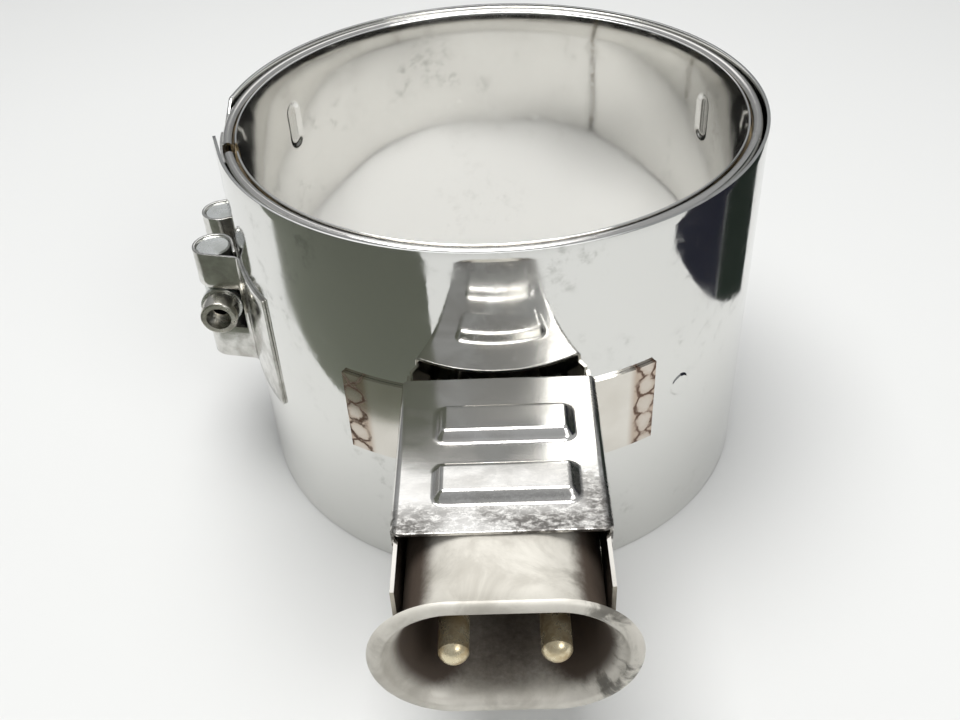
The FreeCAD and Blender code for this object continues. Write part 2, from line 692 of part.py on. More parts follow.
def front_lug():
    """Strip welded to the strap, looped round the barrel, with a window for the screw."""
    gauge = number("lug_gauge")
    height = number("lug_height")
    leg_radius = number("strap_outer + lug_gauge / 2")
    rise = number("lug_rise_angle")
    leave = number("front_end_angle")
    begin = math.radians(leave + number("lug_leg_angle"))
    start = Vector(math.cos(begin), math.sin(begin), 0) * leg_radius
    moves = [
        ("bend", leg_radius, -number("lug_leg_angle")),
        ("run", number("lug_straight")),
        ("bend", number("lug_bend_radius"), rise),
        ("run", number("lug_run")),
        ("bend", number("lug_loop_radius"), -180 - rise),
        ("run", number("lug_return")),
    ]
    section = sheet_section(start, begin - math.pi / 2, moves, gauge)
    strip = section.extrude(Vector(0, 0, height))
    strip.translate(Vector(0, 0, -height / 2))
    window = number("lug_window_height")
    floor = number("strap_outer + lug_lift + lug_gauge")
    clear = number("2 * barrel_orbit") - floor
    cutter = Part.makeBox(clear, 2 * clear, window)
    cutter.translate(Vector(floor, -2 * clear, -window / 2))
    cutter.rotate(Vector(), Vector(0, 0, 1), leave)
    lug = doc.addObject("Part::Feature", "front_lug")
    lug.Label = "front_lug"
    lug.Shape = strip.cut(cutter)
    place(lug, z="clamp_rise")
    return sub_part(lug)


def rear_lug(front):
    normal = (f"-{sine('clamp_angle')}", cosine("clamp_angle"))
    return sub_part(mirrored("rear_lug", front, normal))


def place_in_clamp(item):
    """Set a piece on the clamp: X outwards, Y along the screw towards its head."""
    x, y = polar("clamp_radius", "clamp_angle")
    place(item, x, y, "clamp_rise", turn="clamp_angle")


def barrel(label, side, hole):
    """Cross-drilled barrel; the front one has a spot face for the washer."""
    body = new_body(label)
    centre = f"{side} * barrel_side"
    round_bar = new_sketch(body, label + "_round", "XY_Plane")
    circle(round_bar, "0", centre, "barrel_radius")
    pad(body, round_bar, "barrel_length", both_ways=True)
    cross = new_sketch(body, label + "_hole", "XZ_Plane")
    circle(cross, "0", "0", hole)
    removes(body, cross, both_ways=True)
    if side > 0:
        face = new_sketch(body, label + "_spot_face", "XZ_Plane", lift="-washer_seat")
        circle(face, "0", "0", "washer_radius + washer_clearance")
        removes(body, face, forward=False)
    half = number("barrel_length / 2")
    dress(body, "Chamfer", "barrel_chamfer", lambda edge: abs(abs(edge.CenterOfMass.z) - half) < 1e-3)
    place_in_clamp(body)
    return sub_part(body)


def clamp_screw():
    """Socket-head screw; its thread is left plain."""
    body = turned_part("clamp_screw", [
        ("0", "head_seat - screw_length"),
        ("screw_radius - tip_chamfer", "head_seat - screw_length"),
        ("screw_radius", "head_seat - screw_length + tip_chamfer"),
        ("screw_radius", "head_seat"),
        ("head_radius", "head_seat"),
        ("head_radius", "head_seat + head_height - head_chamfer"),
        ("head_radius - head_chamfer", "head_seat + head_height"),
        ("0", "head_seat + head_height"),
    ])
    socket = new_sketch(body, "hex_socket", "XZ_Plane", lift="-head_seat - head_height")
    hexagon(socket, "socket_width")
    removes(body, socket, length="socket_depth")
    place_in_clamp(body)
    return sub_part(body)


def screw_washer():
    body = turned_ring("screw_washer", "screw_radius + washer_clearance", "washer_radius",
                       "washer_seat", "head_seat")
    place_in_clamp(body)
    return sub_part(body)


# ---------------------------------------------------------------- terminal box

def folded_channel(sketch, half_width, base, rim, gauge, way):
    """Section of a folded channel; way is 1 where its base is at the top."""
    root = f"({base}) - {way} * fold_radius"
    inner = f"{half_width} - ({gauge})"
    pull = f"{half_width} - fold_radius"
    under = f"({base}) - {way} * ({gauge})"
    left = [(f"-({half_width})", rim), (f"-({half_width})", root), (f"-({pull})", base)]
    right = [(pull, base), (half_width, root), (half_width, rim)]
    back = [(inner, rim), (inner, root), (pull, under)]
    home = [(f"-({pull})", under), (f"-({inner})", root), (f"-({inner})", rim)]
    bend = f"fold_radius - ({gauge})"
    arcs = {
        1: (f"-({pull})", root, "fold_radius", -way),
        3: (pull, root, "fold_radius", -way),
        7: (pull, root, bend, way),
        9: (f"-({pull})", root, bend, way),
    }
    outline(sketch, left + right + back + home, arcs)


def drill_for_rivets(body):
    """Rivet hole through both sides of the box."""
    holes = new_sketch(body, body.Label + "_rivet_holes", "YZ_Plane")
    circle(holes, "-rivet_reach", "rivet_rise", "rivet_radius + rivet_clearance")
    removes(body, holes, both_ways=True)


def terminal_channel():
    """Folded channel with floor, two long walls and a foot bent out on each side."""
    body = new_body("terminal_channel")
    section = new_sketch(body, "channel_section", "XZ_Plane", lift="box_back")
    floor = "-(wall_half_height + box_gauge)"
    rim = "cover_top - fold_radius"
    folded_channel(section, "wall_outer", floor, rim, "box_gauge", -1)
    pad(body, section, "box_length")
    walls = new_sketch(body, "channel_walls", "XZ_Plane", lift="wall_back")
    low = "foot_rise - foot_height / 2"
    for side in (-1, 1):
        near, far = (f"{side} * wall_inner", f"{side} * wall_outer")
        edges = (near, far) if side > 0 else (far, near)
        rectangle(walls, *edges, low, rim)
    pad(body, walls, "wall_reach - wall_back")
    for name, side in (("left", -1), ("right", 1)):
        middle = f"-90 + {side} * (foot_start_angle + foot_end_angle) / 2"
        foot = new_sketch(body, name + "_foot", "XZ_Plane", spin=middle)
        base = "foot_rise - foot_height / 2"
        top = "foot_rise + foot_height / 2"
        rectangle(foot, "foot_radius", "foot_radius + box_gauge", base, top)
        revolve(body, foot, "foot_end_angle - foot_start_angle")
    outside = number("foot_radius + box_gauge")
    wall = number("wall_outer")
    corner = Vector(wall, -math.sqrt(outside ** 2 - wall ** 2), number("foot_rise"))
    reach = number("box_gauge") / 4

    def in_corner(edge):
        middle = edge.CenterOfMass
        return Vector(abs(middle.x), middle.y, middle.z).distanceToPoint(corner) < reach

    dress(body, "Fillet", "foot_fillet", in_corner)
    drill_for_rivets(body)
    place(body, z="plug_rise")
    return sub_part(body)


def hood_cover():
    """Cover plate with folded sides, round front corners and two pressed ribs."""
    body = new_body("hood_cover")
    section = new_sketch(body, "cover_section", "XZ_Plane", lift="box_back")
    folded_channel(section, "cover_half_width", "cover_top", "cover_top - flange_depth", "box_gauge", 1)
    pad(body, section, "box_length")
    front = "-(box_back + box_length)"
    trim = new_sketch(body, "corner_trim", "XY_Plane")
    for side in (-1, 1):
        edge = f"{side} * cover_half_width"
        pull = f"{side} * (cover_half_width - corner_radius)"
        root = f"{front} + corner_radius"
        outline(trim, [(edge, root), (edge, front), (pull, front)], {2: (pull, root, "corner_radius", side)})
    removes(body, trim, both_ways=True)
    for name, row in (("rear", "rear_rib"), ("front", "rear_rib + rib_spacing")):
        for kind, inset, level in (("rib", "0", "cover_top"), ("hollow", "box_gauge", "cover_top - box_gauge")):
            plan = new_sketch(body, f"{name}_{kind}", "XY_Plane", lift=level)
            half_length = f"rib_length / 2 - ({inset})"
            half_width = f"rib_width / 2 - ({inset})"
            corner = f"rib_corner - ({inset}) / 2"
            rounded_rectangle(plan, half_length, half_width, corner, x="rib_shift", y=f"-({row})")
            if kind == "rib":
                pad(body, plan, "rib_height", slope="rib_slope")
            else:
                removes(body, plan, length="rib_height", slope="rib_slope")
    drill_for_rivets(body)
    place(body, z="plug_rise")
    return sub_part(body)


def rivets():
    """Rivet through cover and wall on each side of the box."""
    inside = "wall_inner"
    outside = "cover_half_width"
    body = new_body("right_rivet")
    profile = new_sketch(body, "rivet_profile", "XY_Plane")
    outline(profile, [
        (f"{inside} - rivet_tail_height", "0"),
        (f"{inside} - rivet_tail_height", "rivet_tail_radius"),
        (inside, "rivet_tail_radius"),
        (inside, "rivet_radius"),
        (outside, "rivet_radius"),
        (outside, "rivet_head_radius"),
        (f"{outside} + rivet_head_height", "0"),
    ], {5: (f"{outside} + rivet_head_height - ({dome('rivet_head_radius', 'rivet_head_height')})", "0",
            dome("rivet_head_radius", "rivet_head_height"), -1)})
    revolve(body, profile, axis="H_Axis")
    place(body, y="-rivet_reach", z="plug_rise + rivet_rise")
    return group("hood_rivets", [body, mirrored("left_rivet", body)])


def dome(radius, height):
    """Sphere radius of a cap of the given radius and height."""
    return f"(pow({radius}; 2) + pow({height}; 2)) / (2 * ({height}))"


# ---------------------------------------------------------------- plug

FLARE_STEPS = 5


def flare_section(body, name, step, widths, heights, start, end):
    """One section of a trumpet mouth that opens along a quarter ellipse."""
    angle = 90 * step / FLARE_STEPS
    reach = f"{start} + (({end}) - ({start})) * {sine(angle)}"
    half_width = f"{widths[0]} + (({widths[1]}) - ({widths[0]})) * (1 - {cosine(angle)})"
    half_height = f"{heights[0]} + (({heights[1]}) - ({heights[0]})) * (1 - {cosine(angle)})"
    sketch = new_sketch(body, f"{name}_{step}", "XZ_Plane", lift=reach)
    stadium(sketch, half_width, half_height)
    return sketch


def plug_shell():
    """Oval cast shell that opens into a trumpet mouth with a rounded lip."""
    body = new_body("plug_shell")
    rear = new_sketch(body, "shell_rear", "XZ_Plane", lift="insulator_rear")
    stadium(rear, "shell_half_width", "shell_half_height")
    widths = ("shell_half_width", "lip_half_width")
    heights = ("shell_half_height", "lip_half_height")
    start = "plug_reach - flare_length"
    outer = [flare_section(body, "shell_flare", step, widths, heights, start, "plug_reach - lip_setback")
             for step in range(FLARE_STEPS + 1)]
    mouth = new_sketch(body, "shell_mouth", "XZ_Plane", lift="plug_reach")
    stadium(mouth, "(lip_half_width + mouth_half_width) / 2", "(lip_half_height + mouth_half_height) / 2")
    loft(body, "AdditiveLoft", [rear] + outer + [mouth])
    rear_inside = new_sketch(body, "bore_rear", "XZ_Plane", lift="insulator_rear - shell_wall")
    stadium(rear_inside, "shell_inner_width", "shell_inner_height")
    widths = ("shell_inner_width", "mouth_half_width")
    heights = ("shell_inner_height", "mouth_half_height")
    inner = [flare_section(body, "bore_flare", step, widths, heights, f"{start} - shell_wall", "plug_reach")
             for step in range(FLARE_STEPS + 1)]
    loft(body, "SubtractiveLoft", [rear_inside] + inner)
    front = -number("plug_reach")
    dress(body, "Fillet", "lip_fillet", lambda edge: abs(edge.BoundBox.YMin - front) < 1e-3
          and edge.BoundBox.YLength < 1e-3)
    place(body, z="plug_rise")
    return sub_part(body)


def plug_insulator():
    """Ceramic block that closes the shell and carries the pins."""
    body = new_body("plug_insulator")
    block = new_sketch(body, "insulator_block", "XZ_Plane", lift="insulator_rear")
    stadium(block, "shell_inner_width - insulator_clearance", "shell_inner_height - insulator_clearance")
    pad(body, block, "insulator_length")
    for name, side in (("left", -1), ("right", 1)):
        hole = new_sketch(body, name + "_pin_hole", "XZ_Plane")
        circle(hole, f"{side} * pin_offset", "0", "tail_hole")
        removes(body, hole)
    place(body, z="plug_rise")
    return sub_part(body)


def contact_pin(label, side):
    """Contact pin: domed tip, collar on the insulator and a threaded tail, left plain."""
    shoulder = "-(insulator_front + collar_height)"
    dome_radius = dome("pin_radius", "dome_height")
    body = turned_part(label, [
        ("0", "-pin_tip"),
        ("pin_radius", "-pin_tip + dome_height"),
        ("pin_radius", shoulder),
        ("collar_radius", shoulder),
        ("collar_radius", "-insulator_front"),
        ("tail_radius", "-insulator_front"),
        ("tail_radius", "-nut_rear + tail_spare"),
        ("0", "-nut_rear + tail_spare"),
    ], {0: ("0", f"-pin_tip + {dome_radius}", dome_radius, 1)})
    place(body, x=f"{side} * pin_offset", z="plug_rise")
    return sub_part(body)


def pin_fasteners():
    """Washer between each lead and the insulator, and the nut behind each lead."""
    washers = []
    nuts = []
    for name, side in (("left", -1), ("right", 1)):
        washer = turned_ring(name + "_pin_washer", "tail_hole", "pin_washer_radius",
                             "-insulator_rear", "-eyelet_front")
        nut = new_body(name + "_pin_nut")
        section = new_sketch(nut, name + "_nut_section", "XZ_Plane", lift="nut_rear")
        hexagon(section, "nut_width")
        circle(section, "0", "0", "tail_radius + thread_clearance")
        pad(nut, section, "nut_height")
        for item in (washer, nut):
            place(item, x=f"{side} * pin_offset", z="plug_rise")
        washers.append(washer)
        nuts.append(nut)
    group("pin_washers", washers)
    group("pin_nuts", nuts)


def right_lead():
    """Nickel strip from the ribbon to its pin, ending in an eyelet."""
    gauge = number("lead_gauge")
    width = number("lead_width")
    line = number("lead_line")
    bend = number("lead_bend_radius")
    contact = number("mica_outer_face - layer_clearance / 2")
    outer_edge = line - gauge / 2
    begin = math.sqrt(contact ** 2 - outer_edge ** 2)
    plane = number("eyelet_rear + lead_gauge / 2")
    moves = [
        ("run", plane - bend - begin),
        ("bend", bend, -90),
        ("run", number("lead_offset") - bend),
    ]
    section = sheet_section(Vector(line, -begin, 0), -math.pi / 2, moves, gauge)
    strip = section.extrude(Vector(0, 0, width))
    strip.translate(Vector(0, 0, -width / 2))
    centre = Vector(number("pin_offset"), -number("eyelet_front"), 0)
    along = Vector(0, 1, 0)
    disc = Part.makeCylinder(number("eyelet_radius"), gauge, centre, along)
    hole = Part.makeCylinder(number("tail_hole"), gauge, centre, along)
    lead = doc.addObject("Part::Feature", "right_lead")
    lead.Label = "right_lead"
    lead.Shape = strip.fuse(disc).cut(hole).removeSplitter()
    place(lead, z="plug_rise")
    return sub_part(lead)


def lead_sleeves():
    """Flat ceramic sleeve round each lead where it leaves the casing."""
    body = new_body("right_sleeve")
    inner_face = "(lead_line - sleeve_thickness / 2)"
    root = f"sqrt(pow(mica_outer_face + mica_gauge + sleeve_setback; 2) - pow({inner_face}; 2))"
    block = new_sketch(body, "sleeve_block", "XZ_Plane", lift=root)
    half_height = "sleeve_height / 2"
    rectangle(block, inner_face, "lead_line + sleeve_thickness / 2", f"-{half_height}", half_height)
    half_slot = "(lead_gauge / 2 + sleeve_clearance)"
    slot_height = "lead_width / 2 + sleeve_clearance"
    rectangle(block, f"lead_line - {half_slot}", f"lead_line + {half_slot}", f"-({slot_height})", slot_height)
    pad(body, block, "sleeve_length")
    place(body, z="plug_rise")
    return group("lead_sleeves", [body, mirrored("left_sleeve", body)])


# ---------------------------------------------------------------- build and export

def build():
    fill_sheet()
    inner_sheath()
    layer("mica_inner", "mica_inner_face", "mica_gauge", "half_mica")
    layer("mica_core", "core_inner_face", "core_gauge", "half_mica")
    resistance_ribbon()
    layer("mica_outer", "mica_outer_face", "mica_gauge", "half_mica", window=True)
    outer_casing()
    clamp_strap()
    rear_lug(front_lug())
    barrel("front_barrel", 1, "screw_radius + screw_clearance")
    barrel("rear_barrel", -1, "screw_radius + thread_clearance")
    screw_washer()
    clamp_screw()
    terminal_channel()
    hood_cover()
    rivets()
    plug_shell()
    plug_insulator()
    contact_pin("contact_pin_left", -1)
    contact_pin("contact_pin_right", 1)
    pin_fasteners()
    sub_part(mirrored("left_lead", right_lead()))
    lead_sleeves()
    doc.recompute()


def check():
    """Stop if any object failed or any sub-part is empty or broken."""
    for item in doc.Objects:
        if {"Invalid", "Error"} & set(item.State):
            raise RuntimeError(f"{item.Label} did not build: {item.State}")
    for item in nodes:
        if item.Shape.isNull() or not item.Shape.isValid():
            raise RuntimeError(f"{item.Label} has no valid shape")


def export():
    os.makedirs("parts", exist_ok=True)
    for item in nodes:
        item.Shape.exportStep(f"parts/{item.Label}.step")
        print(f"{item.Label}: {len(item.Shape.Solids)} solid(s), {item.Shape.Volume:.1f} mm3")


build()
check()
export()
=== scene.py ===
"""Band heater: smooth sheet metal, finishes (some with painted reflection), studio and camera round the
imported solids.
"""
import math

import bmesh
import bpy
from mathutils import Matrix, Vector


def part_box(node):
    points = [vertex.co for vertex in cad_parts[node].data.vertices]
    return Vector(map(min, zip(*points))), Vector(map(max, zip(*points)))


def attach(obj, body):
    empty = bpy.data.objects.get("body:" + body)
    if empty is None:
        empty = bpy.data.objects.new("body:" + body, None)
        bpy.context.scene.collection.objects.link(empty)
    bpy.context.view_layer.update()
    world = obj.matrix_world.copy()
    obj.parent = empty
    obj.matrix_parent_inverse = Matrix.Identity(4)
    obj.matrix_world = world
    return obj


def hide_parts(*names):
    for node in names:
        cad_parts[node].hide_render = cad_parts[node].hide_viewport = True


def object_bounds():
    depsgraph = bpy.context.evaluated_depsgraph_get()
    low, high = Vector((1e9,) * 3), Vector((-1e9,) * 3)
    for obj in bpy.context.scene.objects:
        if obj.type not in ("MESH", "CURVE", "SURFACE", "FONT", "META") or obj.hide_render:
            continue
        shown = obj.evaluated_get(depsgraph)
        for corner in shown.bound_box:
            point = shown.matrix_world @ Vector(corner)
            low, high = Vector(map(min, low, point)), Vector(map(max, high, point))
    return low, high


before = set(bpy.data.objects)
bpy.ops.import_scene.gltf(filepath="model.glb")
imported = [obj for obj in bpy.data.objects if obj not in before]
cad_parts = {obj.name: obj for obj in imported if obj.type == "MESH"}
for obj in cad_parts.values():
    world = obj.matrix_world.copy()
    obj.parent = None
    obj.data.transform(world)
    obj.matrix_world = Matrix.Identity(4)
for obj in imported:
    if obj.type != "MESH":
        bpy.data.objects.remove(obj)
cad_low, cad_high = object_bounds()

MM = 0.001
UP = Vector((0, 0, 1))

# Sizes of the heater in millimetres and degrees, as the solids have them. Bearings are about the
# band axis, from +X towards +Y; heights are from the middle of the band.
BORE_RADIUS = 65.0
SHEATH_TOP = 49.7
SHEET_GAUGE = 0.6
CASING_RADIUS = 69.0
HALF_BAND = 50.0
HEM_RADIUS = 1.3
GAP_ANGLE = 195.0
HEATER_ARC = 355.945
HEATER_START = GAP_ANGLE + (360 - HEATER_ARC) / 2
STRAP_RADIUS = 70.5
STRAP_GAUGE = 0.8
HALF_STRAP = 50.5
STRAP_START = 198.0
STRAP_ARC = 330.0
STRAP_TAIL = 12.0
STRAP_MARK_ANGLE = -51.0
DIMPLE_RISE = 32.0
WINDOW_HALF_WIDTH = 20.0
WINDOW_HALF_HEIGHT = 6.0
CLAMP_ANGLE = 183.0
CLAMP_RISE = 2.2
LUG_HALF_HEIGHT = 17.0
LUG_GAUGE = 0.8
LUG_WINDOW = 6.5
BEAD_RADIUS = 1.0
HALF_WASHER = 0.6
SCREW_PITCH = 1.0
HEX_FLATS = 5.0
PLUG_RISE = 2.4
FOOT_RADIUS = 71.4
BOX_BACK = 71.8
BOX_LENGTH = 46.0
BOX_GAUGE = 0.8
COVER_TOP = 15.6
COVER_SKIRT = 15.2
COVER_HALF_FLAT = 20.2
COVER_FOLD = 1.6
COVER_CORNER = 2.4
RIB_ROWS = (87.2, 104.8)
RIB_SHIFT = 1.2
RIB_HALF_SIZE = (15.0, 5.8)
RIB_RISE = 2.2
RIB_SLOPE = 2.4
SHELL_BACK = 101.0
PLUG_REACH = 136.2
MOUTH_HALF_SIZE = (22.6, 13.7)


# ---------------------------------------------------------------- materials

def colour(code):
    """Linear colour of an sRGB hex value."""
    parts = [int(code[place:place + 2], 16) / 255 for place in (1, 3, 5)]
    return (*[c / 12.92 if c <= 0.04045 else ((c + 0.055) / 1.055) ** 2.4 for c in parts], 1)


def add(tree, kind, inputs=None, **settings):
    """Add a node with its settings; an input is a value or the socket that feeds it."""
    made = tree.nodes.new(kind)
    for name, value in settings.items():
        setattr(made, name, value)
    for name, value in (inputs or {}).items():
        if isinstance(value, bpy.types.NodeSocket):
            tree.links.new(value, made.inputs[name])
        else:
            made.inputs[name].default_value = value
    return made


def ramp(tree, value, low, high, start, end):
    """Map a value between two limits smoothly onto start and end."""
    made = add(tree, "ShaderNodeMapRange", {0: value, 1: low, 2: high, 3: start, 4: end})
    made.interpolation_type = "SMOOTHSTEP"
    return made.outputs[0]


def maths(tree, kind, first, second=0.0):
    """One sum on values or sockets."""
    return add(tree, "ShaderNodeMath", {0: first, 1: second}, operation=kind).outputs[0]


def blend_colour(tree, share, first, second):
    """Colour part of the way from the first to the second."""
    made = add(tree, "ShaderNodeMix", data_type="RGBA")
    for socket, value in ((made.inputs[0], share), (made.inputs[6], first), (made.inputs[7], second)):
        if isinstance(value, bpy.types.NodeSocket):
            tree.links.new(value, socket)
        else:
            socket.default_value = value
    return made.outputs[2]


def start_material(name, metallic, roughness):
    """New material with its shader and the object coordinates."""
    material = bpy.data.materials.new(name)
    material.use_nodes = True
    tree = material.node_tree
    shader = tree.nodes["Principled BSDF"]
    shader.inputs["Metallic"].default_value = metallic
    shader.inputs["Roughness"].default_value = roughness
    place = add(tree, "ShaderNodeTexCoord").outputs["Object"]
    return material, tree, shader, place


def mottle(tree, place, size, detail=4.0, roughness=0.55, stretch=(1, 1, 1), distortion=0.0):
    """Cloudy pattern whose clouds are about size millimetres across."""
    scaled = add(tree, "ShaderNodeMapping", {"Vector": place, "Scale": stretch}).outputs[0]
    return add(tree, "ShaderNodeTexNoise", {
        "Vector": scaled, "Scale": 1000 / size, "Detail": detail, "Roughness": roughness,
        "Distortion": distortion}).outputs["Fac"]


def raise_surface(tree, shader, height, depth, under=None):
    """Bump of a real depth in millimetres from a 0 to 1 height."""
    inputs = {"Height": height, "Distance": depth * MM, "Strength": 1.0}
    if under:
        inputs["Normal"] = under
    made = add(tree, "ShaderNodeBump", inputs).outputs[0]
    tree.links.new(made, shader.inputs["Normal"])
    return made


def polished_stainless(name, bright, smudge_and_reflection_shade, haze, wave, smudge_and_reflection_share=0.25):
    """Cold-rolled stainless sheet, buffed: a clear mirror that carries hand smears, fine scratches
    and the slight waviness of rolled sheet, which bends what it reflects. Its darker colour, laid in
    speckled clouds, is partly smudges and partly painted reflection of dark surroundings."""
    material, tree, shader, place = start_material(name, 1.0, haze)
    smear_and_reflection_cloud = mottle(tree, place, 34, 5, 0.6, distortion=0.6)
    grime_and_reflection_fleck = mottle(tree, place, 5, 6, 0.7)
    streak = mottle(tree, place, 2.2, 3, 0.6, stretch=(1, 1, 0.4))
    # Painted reflection: the darker colour in speckled clouds stands partly for smudges and partly for dark
    # surroundings mirrored in the sheet.
    smudged_and_reflecting = ramp(tree, smear_and_reflection_cloud, 0.50, 0.72, 0.0, 1.0)
    smudge_and_reflection_specks = maths(tree, "MULTIPLY", smudged_and_reflecting, ramp(tree, grime_and_reflection_fleck, 0.50, 0.68, 0.0, smudge_and_reflection_share))
    shade = blend_colour(tree, smudge_and_reflection_specks, colour(bright), colour(smudge_and_reflection_shade))
    tree.links.new(shade, shader.inputs["Base Color"])
    rough = maths(tree, "ADD", ramp(tree, smear_and_reflection_cloud, 0.40, 0.75, haze, haze + 0.10),
                  ramp(tree, grime_and_reflection_fleck, 0.52, 0.75, 0.0, 0.14))
    tree.links.new(rough, shader.inputs["Roughness"])
    sheet = mottle(tree, place, 46, 1.5, 0.4, stretch=(1, 1, 0.7))
    waves = raise_surface(tree, shader, sheet, wave)
    raise_surface(tree, shader, streak, 0.010, waves)
    return material


def scuffed_stainless():
    """Box cover: the same sheet after handling, with black rubbed patches and scratches
    that run across each other. The black along the front edge is rubbed patches; towards the right
    front corner it is painted reflection of dark surroundings."""
    material, tree, shader, place = start_material("scuffed_stainless", 1.0, 0.16)
    patch = mottle(tree, place, 22, 3, 0.5, distortion=0.8)
    rub = mottle(tree, place, 1.3, 8, 0.8, stretch=(0.6, 1, 1), distortion=0.3)
    scratch = mottle(tree, place, 0.9, 5, 0.7, stretch=(0.08, 1, 1))
    front = add(tree, "ShaderNodeSeparateXYZ", {0: place}).outputs[1]
    across = add(tree, "ShaderNodeSeparateXYZ", {0: place}).outputs[0]
    edge = -(BOX_BACK + BOX_LENGTH)
    # Rubbing and painted reflection: black along the front edge is rubbed patches, black on the right side
    # near the front is painted reflection of dark surroundings.
    rubbing_and_reflection = maths(tree, "MAXIMUM", ramp(tree, front, (edge + 11.8) * MM, (edge + 1.8) * MM, 0.08, 0.95),
                 maths(tree, "MULTIPLY", ramp(tree, across, 10 * MM, 19 * MM, 0.0, 0.9),
                       ramp(tree, front, (edge + 25.8) * MM, (edge + 15.8) * MM, 0.25, 1.0)))
    rubbed_and_reflected = maths(tree, "MULTIPLY", ramp(tree, rub, 0.38, 0.56, 0.0, 1.0),
                 maths(tree, "MULTIPLY", rubbing_and_reflection, ramp(tree, patch, 0.34, 0.56, 0.30, 1.0)))
    base = blend_colour(tree, ramp(tree, patch, 0.35, 0.7, 0.0, 0.6), colour("#f0eeea"), colour("#bdb9b2"))
    # Blend to near black for the rubbed patches and the painted reflection.
    shade = blend_colour(tree, rubbed_and_reflected, base, colour("#55524f"))
    tree.links.new(shade, shader.inputs["Base Color"])
    rough = maths(tree, "ADD", ramp(tree, patch, 0.4, 0.7, 0.12, 0.24), maths(tree, "MULTIPLY", rubbed_and_reflected, 0.30))
    tree.links.new(rough, shader.inputs["Roughness"])
    dents = raise_surface(tree, shader, mottle(tree, place, 17, 2), 0.10)
    raise_surface(tree, shader, scratch, 0.008, dents)
    return material


def welded_stainless():
    """Terminal box: satin sheet with brown heat tint in a column of rings, 6 mm apart, where
    the outer edge of each foot is spot welded to the strap."""
    material, tree, shader, place = start_material("welded_stainless", 1.0, 0.15)
    split = add(tree, "ShaderNodeSeparateXYZ", {0: place})
    across, along, height = split.outputs
    side = maths(tree, "ABSOLUTE", across)
    bearing = maths(tree, "ARCTAN2", side, maths(tree, "MULTIPLY", along, -1.0))
    arc = maths(tree, "MULTIPLY", bearing, FOOT_RADIUS)
    level = maths(tree, "MULTIPLY", height, 1000.0)
    stack = maths(tree, "PINGPONG", maths(tree, "ADD", level, 11.6), 3.0)
    wobble = maths(tree, "MULTIPLY", maths(tree, "SUBTRACT", mottle(tree, place, 3.4, 4, 0.6), 0.5), 4.6)
    weld_line = 36.6
    edge = maths(tree, "SUBTRACT", arc, weld_line)
    squared = maths(tree, "ADD", maths(tree, "POWER", maths(tree, "ABSOLUTE", edge), 2.0),
                    maths(tree, "POWER", stack, 2.0))
    distance = maths(tree, "ADD", maths(tree, "SQRT", squared), wobble)
    ring = maths(tree, "MULTIPLY", ramp(tree, distance, 2.0, 2.7, 0.0, 1.0),
                 ramp(tree, distance, 2.9, 3.7, 1.0, 0.0))
    ring = maths(tree, "MULTIPLY", ring, ramp(tree, mottle(tree, place, 5, 3), 0.34, 0.56, 0.25, 1.0))
    tint = maths(tree, "MULTIPLY", ramp(tree, arc, 31.5, 34.0, 0.0, 1.0),
                 ramp(tree, distance, 0.6, 3.2, 0.30, 0.65))
    base = blend_colour(tree, mottle(tree, place, 12), colour("#ebe8e2"), colour("#cbc6bc"))
    warm = blend_colour(tree, tint, base, colour("#a98f78"))
    shade = blend_colour(tree, maths(tree, "MULTIPLY", ring, ramp(tree, arc, 31, 33, 0.0, 0.9)),
                         warm, colour("#5a4133"))
    tree.links.new(shade, shader.inputs["Base Color"])
    tree.links.new(ramp(tree, ring, 0, 1, 0.13, 0.45), shader.inputs["Roughness"])
    raise_surface(tree, shader, mottle(tree, place, 15, 2), 0.06)
    return material


def cast_aluminium():
    """Plug shell: die-cast and barrel-finished, so matt, warm grey and slightly pitted, with
    greasy dark stains at its flanks, and darker inside the mouth behind the lip."""
    material, tree, shader, place = start_material("cast_aluminium", 0.15, 0.48)
    split = add(tree, "ShaderNodeSeparateXYZ", {0: place})
    across, along, height = split.outputs
    cloud = mottle(tree, place, 13, 6, 0.62, distortion=0.7)
    fine = mottle(tree, place, 1.4, 5, 0.7)
    base = blend_colour(tree, ramp(tree, cloud, 0.3, 0.75, 0.0, 1.0), colour("#d9d5cb"), colour("#b8b3a8"))
    flank = ramp(tree, across, 9 * MM, 19 * MM, 0.10, 1.0)
    stain = maths(tree, "MULTIPLY", ramp(tree, cloud, 0.48, 0.60, 0.0, 0.85), flank)
    stained = blend_colour(tree, stain, base, colour("#4f4c45"))
    rise = maths(tree, "ABSOLUTE", maths(tree, "SUBTRACT", height, PLUG_RISE * MM))
    side = maths(tree, "ABSOLUTE", across)
    half_width, half_height = (size * MM for size in MOUTH_HALF_SIZE)
    round_out = maths(tree, "ADD", maths(tree, "POWER", maths(tree, "DIVIDE", side, half_width), 3.0),
                      maths(tree, "POWER", maths(tree, "DIVIDE", rise, half_height), 3.0))
    ragged = maths(tree, "ADD", round_out, maths(tree, "MULTIPLY", fine, 0.10))
    within = ramp(tree, ragged, 0.80, 1.05, 1.0, 0.0)
    # Darker inside the mouth, from 0.8 mm behind the lip inwards, within the mouth's outline.
    sunk = ramp(tree, along, (0.8 - PLUG_REACH) * MM, (4.4 - PLUG_REACH) * MM, 0.0, 1.0)
    mouth_darkening = maths(tree, "MULTIPLY", within, sunk)
    shade = blend_colour(tree, mouth_darkening, stained, colour("#4f443b"))
    tree.links.new(shade, shader.inputs["Base Color"])
    tree.links.new(ramp(tree, mouth_darkening, 0, 1, 0.44, 0.66), shader.inputs["Roughness"])
    hammered = raise_surface(tree, shader, cloud, 0.16)
    raise_surface(tree, shader, fine, 0.02, hammered)
    return material


